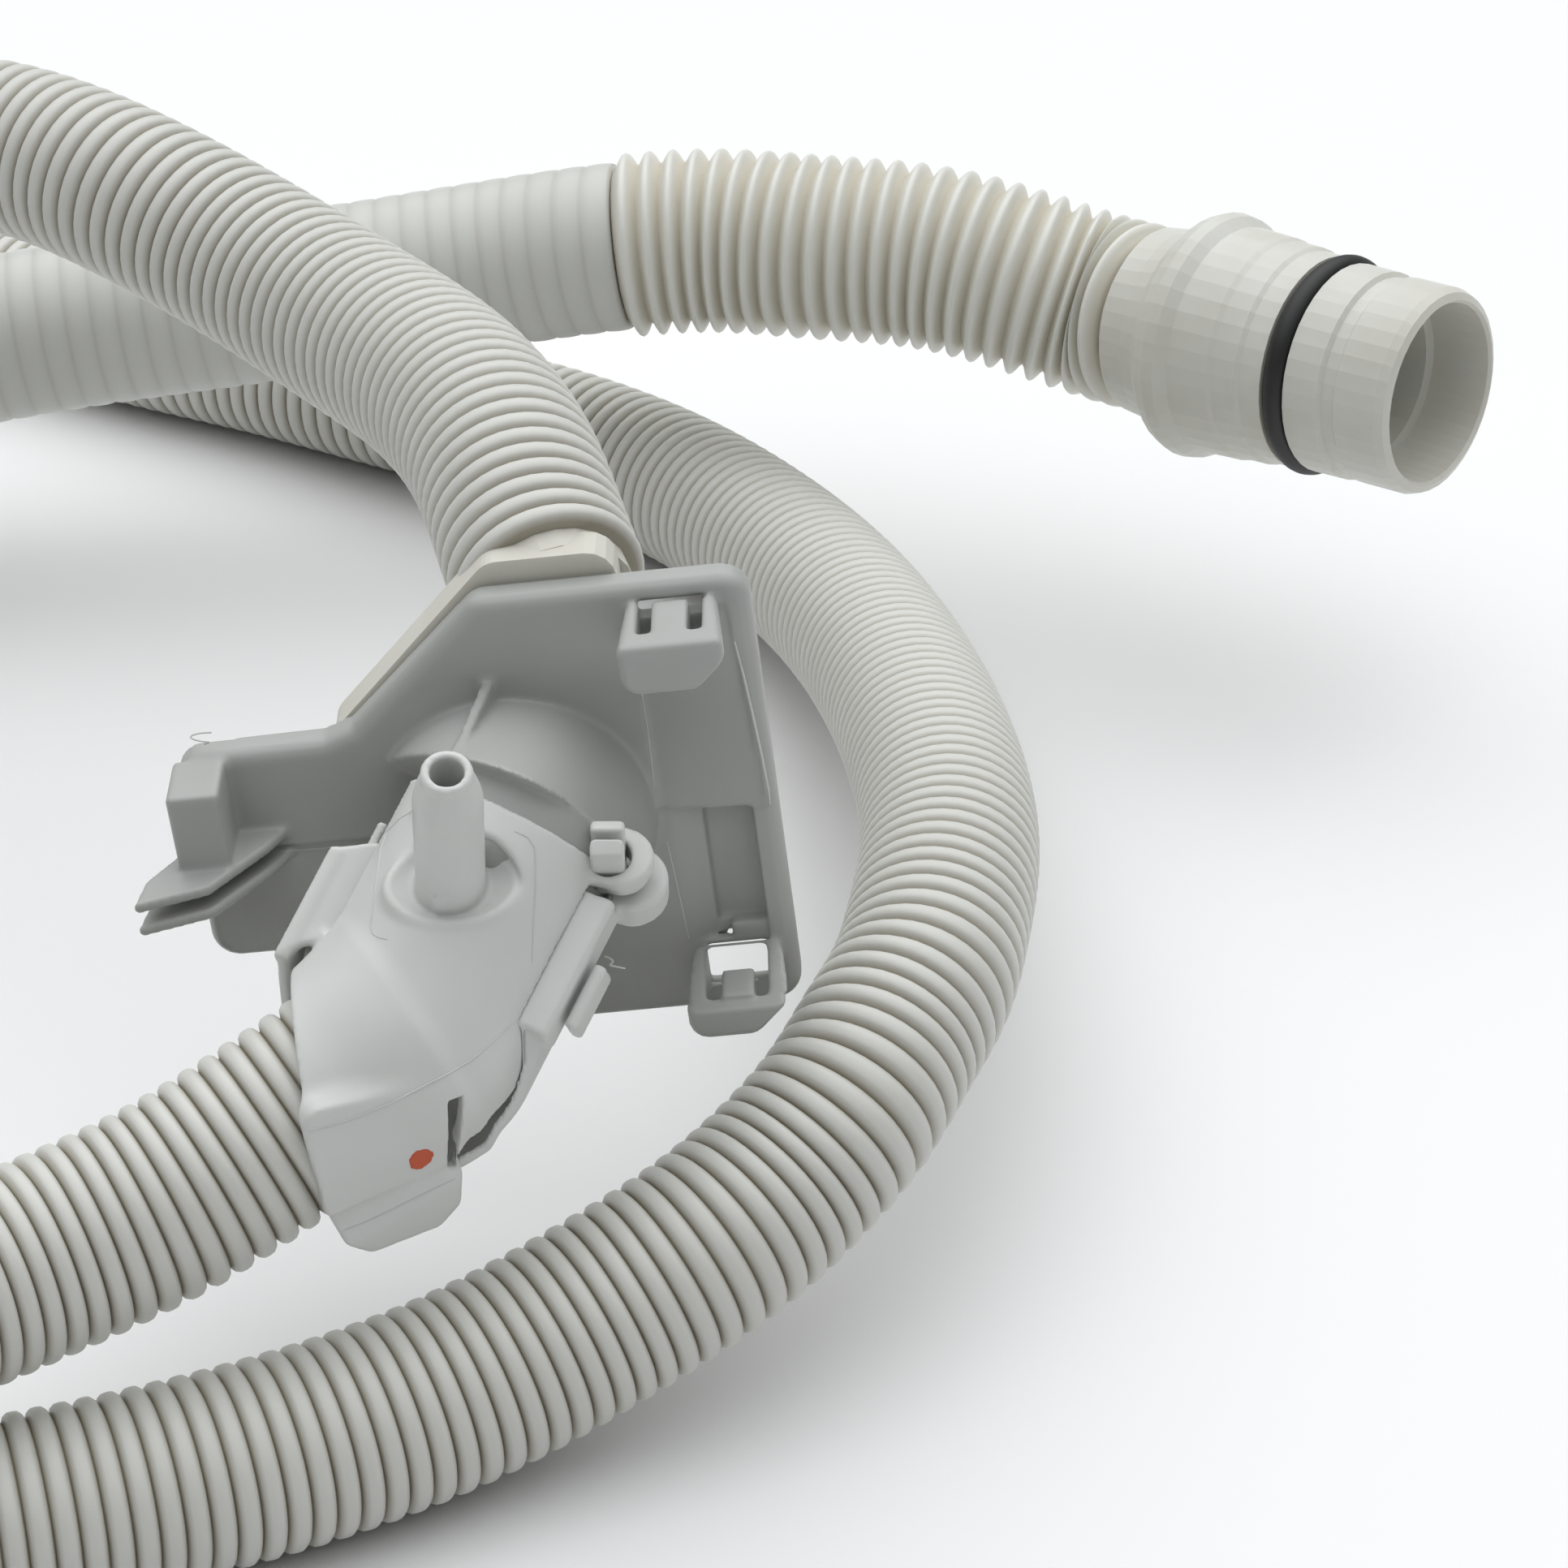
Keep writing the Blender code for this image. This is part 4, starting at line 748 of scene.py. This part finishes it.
along_tab = beyond(BEND, tab_way)
tab_outline = tab_plan((
    (378, 1385), (412, 1512), (430, 1542), (458, 1552), (550, 1518), (570, 1494), (570, 1452),
    (560, 1423), (548, 1352), (548, 1330), (374, 1366),
))
middle = np.mean(tab_outline, axis=0)
tab_core = [middle + (p - middle) * 0.8 for p in np.array(tab_outline)]
tab_area = outline_distance(along_tab, z, tab_core) - 2.0
lean = 0.12 * np.maximum(46.0 + 0.36 * along_tab - z, 0)
tab_depth = np.abs(in_front - TAB_AT + TAB_WALL / 2 + lean) - TAB_WALL / 2
tab = outside_distance([tab_area + 0.6, tab_depth + 0.6]) - 0.6
hood = fuse(hood, tab, 3.0)
NIPPLE_FOOT = np.array((67.0, -118.0, 82.7))
NIPPLE_TOP = np.array((68.0, -128.7, 106.3))
nipple_way = (NIPPLE_TOP - NIPPLE_FOOT) / np.linalg.norm(NIPPLE_TOP - NIPPLE_FOOT)
foot_height = beyond(NIPPLE_FOOT, RISE) - 0.5
FOOT_CENTRE = (67.0, -118.6, 82.4)
FOOT_R = 6.5
FOOT_DEPTH = 5.5
STEM_R = 4.65
STEM_BORE_R = 2.25
STEM_TOP = 26.0
foot_across = beyond(FOOT_CENTRE, np.cross(RISE, (1.0, 0, 0)))
oval = np.sqrt(((x - FOOT_CENTRE[0]) / 1.4) ** 2 + foot_across ** 2) - FOOT_R
under_foot = -FOOT_DEPTH - foot_height
foot_block = np.maximum(
    np.maximum(bent(15.8, HOOD_START), oval - 1.8), np.maximum(foot_height - 1.6, under_foot))
hood = np.minimum(hood, foot_block)
hood = carve(hood, np.maximum(oval, -foot_height), 0.5)
rim = outside_distance([oval + 1.4, foot_height + 1.4]) - 1.4
hood = fuse(hood, np.maximum(rim, under_foot), 0.9)
BOWL = (8.3, 5.6, 2.4)
bowl = np.sqrt(
    ((x - FOOT_CENTRE[0]) / BOWL[0]) ** 2 + ((foot_across - 0.3) / BOWL[1]) ** 2
    + (foot_height / BOWL[2]) ** 2)
hood = carve(hood, (bowl - 1) * BOWL[2], 0.8)
up_nipple = beyond(NIPPLE_FOOT, nipple_way)
across_nipple = np.sqrt(np.maximum(
    sum((p - c) ** 2 for p, c in zip(elbow_points, NIPPLE_FOOT)) - up_nipple ** 2, 0))
stem_r = STEM_R - 1.2 * np.clip((up_nipple - 19.5) / 5.0, 0, 1) ** 1.3
stem_ends = np.maximum(up_nipple - STEM_TOP, -4.0 - up_nipple)
stem = outside_distance([across_nipple - stem_r + 0.6, stem_ends + 0.6]) - 0.6
hood = fuse(hood, stem, 1.0)
hood = carve(hood, np.maximum(across_nipple - STEM_BORE_R, 6.0 - up_nipple), 0.3)
notch_outline = tab_plan(((547, 1351), (566, 1344), (564, 1440), (552, 1440)))
notch = np.maximum(outline_distance(along_tab, z, notch_outline), 6.0 - in_front)
hood = carve(hood, notch, 0.3)
RIB_AT = (65.7, -121.5, 84.0)
rib_frame = [
    x - RIB_AT[0],
    -beyond((0, *RIB_AT[1:]), np.cross((1.0, 0, 0), RISE)),
    beyond((0, *RIB_AT[1:]), RISE),
]
hood = fuse(hood, block(rib_frame, (-0.8, -2.2, -4.2), (0.8, 2.0, 0.8), 0.3), 0.3)
flange_out = np.cross(PART_WAY, LEG_WAY)
flange_out = flange_out * np.sign(flange_out[0]) / np.linalg.norm(flange_out)
flange_frame = [beyond(START, LEG_WAY), beyond(START, flange_out), over_parting]
EAR_TOP = np.array((89.2, -111.2, 82.3))
ear_across = np.cross(RISE, (1.0, 0.0, 0.0))
ear = [x - EAR_TOP[0], beyond(EAR_TOP, ear_across), beyond(EAR_TOP, RISE)]


def lug(radius, top, bottom, reach, shift=0.0):
    """A flat lug with a round end, joined to its shell at the left."""
    along = np.clip(ear[0] - shift, -reach, 0)
    round_end = np.sqrt((ear[0] - shift - along) ** 2 + (ear[1] + 0.25 * along) ** 2) - radius
    ends = np.maximum(ear[2] - top, bottom - ear[2])
    return outside_distance([round_end + 0.6, ends + 0.6]) - 0.6


upper_lug = lug(4.5, 0.0, -2.6, 7.0)
upper_lug = np.minimum(upper_lug, lug(4.0, -2.4, -4.4, 6.5))
upper_lug = carve(upper_lug, np.sqrt((ear[0] + 1.6) ** 2 + ear[1] ** 2) - 3.1, 0.4)
hood = fuse(hood, np.maximum(upper_lug, -bent(15.2, -6.0)), 0.9)
wing_height = over_parting + PART_HEIGHT
WING_HALF = 0.9
wing_plan = [
    (5.8, -12.0), (5.8, -15.5), (9.0, -20.7), (25.5, -20.7), (20.3, -15.5), (20.0, -12.0)]
wing_area = outline_distance(flange_frame[0], flange_frame[1], wing_plan)
wing_depth = np.abs(wing_height - 4.0) - WING_HALF
wing = outside_distance([wing_area + 0.5, wing_depth + 0.5]) - 0.5
side_plan = [(9.0, 4.9), (25.4, 4.9), (30.0, -8.0), (13.0, -8.0)]
side_area = outline_distance(flange_frame[0], wing_height, side_plan)
side_depth = np.abs(flange_frame[1] + 19.8) - WING_HALF
side_wall = outside_distance([side_area + 0.5, side_depth + 0.5]) - 0.5
hood = fuse(hood, np.maximum(fuse(wing, side_wall, 1.0), -bent(15.0, HOLLOW_START, 50.0)), 1.6)
hood_piece = skin("hood", hood, elbow_low, ELBOW_CELL)
# This grey is paler than the bracket's. Besides the hood's own tone, it holds painted light for its
# upward-facing surfaces.
hood_finish = plastic(
    "hood_grey", (0.66, 0.67, 0.655), (0.59, 0.59, 0.565), 0.33, 0.5, 0.3, 0.15, 0.08)
hood_piece.data.materials.append(hood_finish)
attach(hood_piece, "root")
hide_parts("elbow_hood")

# Elbow lower shell: it clasps the hood from below, with a flange along the parting, the lower lug
# and the split snap peg that comes up through the hood's lug.
lower = bent(17.5, 2.5, 4.0)
lower = np.maximum(lower, over_parting + 0.3)
lower = np.maximum(lower, np.minimum(-flange_frame[1], wing_height - 2.0))
lower = carve(lower, bent(16.15, HOLLOW_START, 30.0), 0.2)
lower = np.maximum(lower, in_front - 12.6 + 0.05 * np.maximum(along_tab, 0))
flange = block(flange_frame, (0.4, 13.4, -1.9), (20.6, 18.3, -0.1), 0.5)
skirt = block(flange_frame, (0.4, 16.4, -7.5), (20.6, 18.3, -0.5), 0.6)
flange = fuse(flange, skirt, 1.0)
lower = fuse(lower, np.maximum(flange, -bent(14.7, HOLLOW_START, 30.0)), 0.7)
lip_frame = [flange_frame[0], flange_frame[1], wing_height]
lower = np.minimum(lower, block(lip_frame, (22.0, -16.9, -0.4), (27.5, -15.0, 1.6), 0.5))
catch = block(flange_frame, (8.2, 19.0, -9.0), (17.6, 20.8, -3.4), 0.5)
lower = np.minimum(lower, catch)
lower = fuse(lower, block(flange_frame, (10.0, 16.4, -8.2), (15.5, 20.0, -6.0), 0.4), 0.5)
lower = fuse(lower, np.maximum(lug(5.1, -5.8, -10.8, 7.0, 1.2), -bent(16.4, -6.0)), 0.8)
PEG_TOP = 5.6
for side in (-1, 1):
    peg_frame = [ear[0] + 1.6, ear[1] + side * 1.65, ear[2]]
    half_peg = block(peg_frame, (-2.3, -1.05, -6.0), (2.3, 1.05, PEG_TOP), 0.6)
    half_peg = np.maximum(half_peg, (ear[2] - PEG_TOP + np.abs(ear[1] + side * 0.6) * 0.5) * 0.9)
    lower = np.minimum(lower, half_peg)
lower_piece = skin("lower_shell", lower, elbow_low, ELBOW_CELL)
lower_piece.data.materials.append(hood_finish)
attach(lower_piece, "root")
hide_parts("elbow_lower_shell")

# Moulding lines: the thin raised lines that a mould's joints and inserts leave on the hood, drawn
# where the photograph shows them and laid on the hood's own surface. Same grey plastic.
MOULD_LINES = {
    "crease_line": (0.16, [
        (380, 1394), (412, 1386), (443, 1375), (482, 1359), (519, 1340), (552, 1323), (581, 1306),
        (610, 1281), (634, 1257)]),
    "tongue_line": (0.13, [(415, 1519), (452, 1505), (490, 1487), (528, 1468), (566, 1450)]),
    "insert_line_left": (0.12, [
        (511, 997), (492, 1009), (476, 1026), (469, 1046), (463, 1090), (457, 1140), (459, 1150),
        (466, 1155), (480, 1158)]),
    "insert_line_right": (0.13, [
        (634, 1024), (650, 1031), (659, 1045), (660, 1090), (657, 1140), (655, 1196)]),
}
LINE_STEPS = 6


def surface_tree(piece):
    """What a ray cast needs of one piece."""
    mesh = piece.data
    return BVHTree.FromPolygons([p.co for p in mesh.vertices], [f.vertices for f in mesh.polygons])


def bead(name, places, radius):
    """A thin round bead of plastic through places in metres."""
    data = poly_line(name, places)
    data.bevel_depth = radius * MM
    data.bevel_resolution = 1
    data.use_fill_caps = True
    data.materials.append(line_finish)
    return add_object(name, data)


def laid_line(name, radius, pixels, surface):
    """A bead that follows places of the photograph over a surface and thins out at its ends."""
    tree = surface_tree(surface)
    places = []
    for first, second in zip(pixels, pixels[1:]):
        for k in range(LINE_STEPS):
            t = k / LINE_STEPS
            pixel = [first[i] * (1 - t) + second[i] * t for i in (0, 1)]
            hit = tree.ray_cast(camera.location, Vector(through_pixel(*pixel)).normalized())[0]
            if hit is not None:
                places.append(hit)
    line = bead(name, places, radius)
    for i, point in enumerate(line.data.splines[0].points):
        point.radius = 0.35 + 0.65 * math.sin(math.pi * (i + 0.5) / len(places)) ** 0.4
    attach(line, "root")


line_finish = plastic(
    "flash_grey", (0.62, 0.63, 0.61), (0.56, 0.56, 0.53), 0.3, 0.2, 0.1, 0.0, 0.1)
for line_name, (line_radius, line_pixels) in MOULD_LINES.items():
    laid_line(line_name, line_radius, line_pixels, hood_piece)

# Flash and stray strings: a thin pale sliver on the plate's right edge, the straight edge lines of
# the plate's panel and step, and two curled strings of plastic. The same grey plastic.
PLATE_LINES = {
    "edge_flash": (0.24, [
        (905, 790), (916, 832), (927, 880), (938, 930), (947, 975), (949, 994)]),
    "panel_line": (0.1, [(791, 855), (797, 893), (803, 940), (807, 976)]),
    "lower_panel_line": (0.1, [(822, 1037), (832, 1080), (842, 1125), (850, 1162)]),
    "step_line": (0.08, [(345, 1049), (372, 1047), (400, 1045), (420, 1042)]),
}
for line_name, (line_radius, line_pixels) in PLATE_LINES.items():
    laid_line(line_name, line_radius, line_pixels, bracket)
STRING_R = 0.13
STRING_POINTS = 24


def curl(name, start, size, turns, way):
    """A loose curled thread of plastic that stands on a piece."""
    places = []
    for k in range(STRING_POINTS):
        t = k / (STRING_POINTS - 1)
        angle = turns * 2 * math.pi * t
        swing = Vector((math.sin(angle), 0.3 * math.cos(angle) - 0.3, 0)) * size * (0.4 + t)
        places.append((Vector(start) + Vector(way) * t + swing) * MM)
    thread = bead(name, places, STRING_R)
    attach(thread, "root")


BACKWARD = np.array((0, 1.0, 0))
left_start = on_plane((252, 917), np.array((0, -88.5, 0)), BACKWARD)
right_start = on_plane((745, 1178), np.array((0, -111.0, 0)), BACKWARD)
curl("loose_string_left", left_start, 1.3, 1.2, (-0.6, -0.5, 2.4))
curl("loose_string_right", right_start, 0.7, 1.1, (2.2, -0.6, -1.6))

# Paint mark: a dab of orange-red paint on the tongue, a thin skin with an uneven edge that is laid
# on the plastic.
DAB_R = 1.75
DAB_SIDES = 40
UPWARD = np.array((0, 0, 1.0))
dab_centre = on_plane((516, 1424), tab_from + front_way * 0.03, front_way)
dab_bm = bmesh.new()
dab_rings = []
hood_tree = surface_tree(hood_piece)
for ring_r, lift in ((1.0, -0.02), (0.9, 0.08), (0.5, 0.1), (0.0, 0.1)):
    row = []
    for k in range(DAB_SIDES if ring_r else 1):
        a = 2 * math.pi * k / DAB_SIDES
        uneven = 0.06 * math.sin(3 * a + 1) + 0.05 * math.sin(7 * a) + 0.04 * math.sin(13 * a + 2)
        r = ring_r * (DAB_R + uneven)
        place = dab_centre + tab_way * r * math.cos(a) + UPWARD * r * 1.02 * math.sin(a)
        hit = hood_tree.ray_cast(Vector((place + front_way * 8) * MM), Vector(-front_way))[0]
        row.append(dab_bm.verts.new(hit + Vector(front_way * lift * MM)))
    dab_rings.append(row)
for first, second in zip(dab_rings, dab_rings[1:]):
    for k in range(DAB_SIDES):
        after = (k + 1) % DAB_SIDES
        corners = [first[k], first[after], second[after % len(second)], second[k % len(second)]]
        dab_bm.faces.new(list(dict.fromkeys(corners)))
dab_bm.faces.new(dab_rings[0][::-1])
bmesh.ops.recalc_face_normals(dab_bm, faces=dab_bm.faces)
dab_mesh = bpy.data.meshes.new("paint_mark")
dab_bm.to_mesh(dab_mesh)
dab_bm.free()
dab_mesh.shade_smooth()
dab_mesh.materials.append(plastic(
    "orange_red_paint", (0.60, 0.105, 0.035), (0.47, 0.07, 0.03), 0.5, 0.5, 0.5, 0.0))
dab = add_object("paint_mark", dab_mesh)
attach(dab, "root")

# Pump connector: a turned cream moulding with a flange, a groove and an open mouth. The CAD solid
# has the right shape and gets its finish here.
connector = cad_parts["pump_connector"]
connector.material_slots[0].material = plastic(
    "connector_cream", (0.66, 0.66, 0.615), (0.50, 0.47, 0.38), 0.34, 0.35, 0.3, 0.12, 0.15)

# O-ring and drain cuff: a black rubber ring in the connector's groove, and the plain grey end of
# the drain hose. Each is a closed profile of radius and height in millimetres, spun.
LATHE_SIDES = 96


def lathe(name, profile, start, way, finish, bevel=0.25):
    """A profile of radius and height spun round a heading. Bevel rounds its corners."""
    sides = LATHE_SIDES
    spun = bmesh.new()
    rings = []
    for radius, height in profile:
        count = sides if radius > 1e-6 else 1
        angles = [2 * math.pi * k / sides for k in range(count)]
        rings.append([
            spun.verts.new((radius * math.cos(a), radius * math.sin(a), height)) for a in angles])
    closed = len(rings[0]) > 1
    for i in range(len(rings) if closed else len(rings) - 1):
        first, second = rings[i], rings[(i + 1) % len(rings)]
        for k in range(sides):
            corners = [first[k % len(first)], first[(k + 1) % sides % len(first)]]
            corners += [second[(k + 1) % sides % len(second)], second[k % len(second)]]
            spun.faces.new(list(dict.fromkeys(corners)))
    bmesh.ops.recalc_face_normals(spun, faces=spun.faces)
    mesh = bpy.data.meshes.new(name)
    spun.to_mesh(mesh)
    spun.free()
    piece = add_object(name, mesh)
    if bevel:
        rounding = piece.modifiers.new("rounding", "BEVEL")
        rounding.width = bevel
        rounding.segments = 2
        rounding.limit_method = "ANGLE"
        rounding.angle_limit = math.radians(28)
        bpy.context.view_layer.update()
        depsgraph = bpy.context.evaluated_depsgraph_get()
        rounded_mesh = bpy.data.meshes.new_from_object(piece.evaluated_get(depsgraph))
        piece.modifiers.remove(rounding)
        piece.data = rounded_mesh
    turn = Vector(way).to_track_quat("Z", "Y").to_matrix().to_4x4()
    piece.data.transform(Matrix.Translation(Vector(start) * MM) @ turn @ Matrix.Scale(MM, 4))
    piece.data.shade_smooth()
    piece.data.set_sharp_from_angle(angle=math.radians(50))
    piece.data.materials.append(finish)
    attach(piece, "root")
    return piece


CONNECTOR_WAY = (0.772, -0.630, 0.082)
SEAL_CENTRE_R = 16.9
SEAL_CORD_R = 1.9
SEAL_AT = 38.2
seal_profile = [
    (SEAL_CENTRE_R + SEAL_CORD_R * math.cos(a), SEAL_AT + SEAL_CORD_R * math.sin(a))
    for a in np.linspace(0, 2 * math.pi, 21)[:-1]
]
seal_finish = plastic(
    "black_rubber_seal", (0.012, 0.012, 0.012), (0.03, 0.03, 0.028), 0.42, 0.5, 0.4, 0.3)
seal = lathe("seal_ring", seal_profile, PUMP_ROUTE[0], CONNECTOR_WAY, seal_finish, bevel=0)
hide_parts("o_ring")
cuff_profile = [
    (0.0, 0.3), (12.3, 0.3), (13.3, 2.0), (13.3, 39.0), (12.7, 45.2), (12.1, 46.0), (10.5, 46.0),
    (10.5, 12.0), (0.0, 12.0),
]
cuff_finish = plastic(
    "cuff_warm_grey", (0.60, 0.59, 0.54), (0.5, 0.48, 0.42), 0.35, 0.4, 0.3, 0.15, 0.1)
cuff_way = drain_curve[-1] - drain_curve[-3]
cuff = lathe("drain_cuff", cuff_profile, drain_curve[-1] / MM, cuff_way, cuff_finish)
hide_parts("drain_end_cuff")

# Back cover: the flat cream lid behind the bracket, with the collar that the drain hose is pushed
# on. The CAD solid has the right shape and gets its finish here.
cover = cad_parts["back_cover"]
cover.material_slots[0].material = plastic(
    "cover_cream", (0.66, 0.65, 0.59), (0.55, 0.52, 0.43), 0.34, 0.35, 0.25, 0.1, 0.15)

# Floor and light: a pale table that fades to white behind, one broad soft lamp above and behind,
# and a sky that is bright overhead and dim towards the sides.
floor_mesh = bpy.data.meshes.new("floor")
floor_mesh.from_pydata([(-6, -6, 0), (6, -6, 0), (6, 6, 0), (-6, 6, 0)], [], [(0, 1, 2, 3)])
floor = add_object("floor", floor_mesh)
floor_finish = bpy.data.materials.new("pale_table")
floor_finish.use_nodes = True
floor_shader = floor_finish.node_tree.nodes["Principled BSDF"]
floor_shader.inputs["Base Color"].default_value = (0.85, 0.85, 0.852, 1.0)
floor_shader.inputs["Roughness"].default_value = 0.6
floor_mesh.materials.append(floor_finish)

world = bpy.data.worlds.new("studio")
bpy.context.scene.world = world
world.use_nodes = True
sky = world.node_tree
heading = sky.nodes.new("ShaderNodeTexCoord")
overhead = sky.nodes.new("ShaderNodeVectorMath")
overhead.operation = "DOT_PRODUCT"
overhead.inputs[1].default_value = (0.0, 0.22, 0.975)
glow = sky.nodes.new("ShaderNodeMapRange")
glow.inputs["From Min"].default_value = 0.32
glow.inputs["From Max"].default_value = 0.92
glow.inputs["To Min"].default_value = 0.07
glow.inputs["To Max"].default_value = 1.85
wire(sky, heading.outputs["Generated"], overhead.inputs[0])
wire(sky, overhead.outputs["Value"], glow.inputs["Value"])
wire(sky, glow.outputs["Result"], sky.nodes["Background"].inputs["Strength"])
sky.nodes["Background"].inputs["Color"].default_value = (0.97, 0.985, 1.0, 1.0)


def lamp(name, place, aim, size, power, colour):
    data = bpy.data.lights.new(name, "AREA")
    data.shape = "RECTANGLE"
    data.size, data.size_y = size
    data.energy = power
    data.color = colour
    light = add_object(name, data)
    light.location = place
    light.rotation_euler = (Vector(aim) - Vector(place)).to_track_quat("-Z", "Y").to_euler()


lamp("key", (0.1, 1.0, 1.7), (0.05, 0.0, 0.05), (2.6, 1.6), 5.0, (1.0, 0.99, 0.97))

bpy.context.scene.view_settings.view_transform = "Standard"
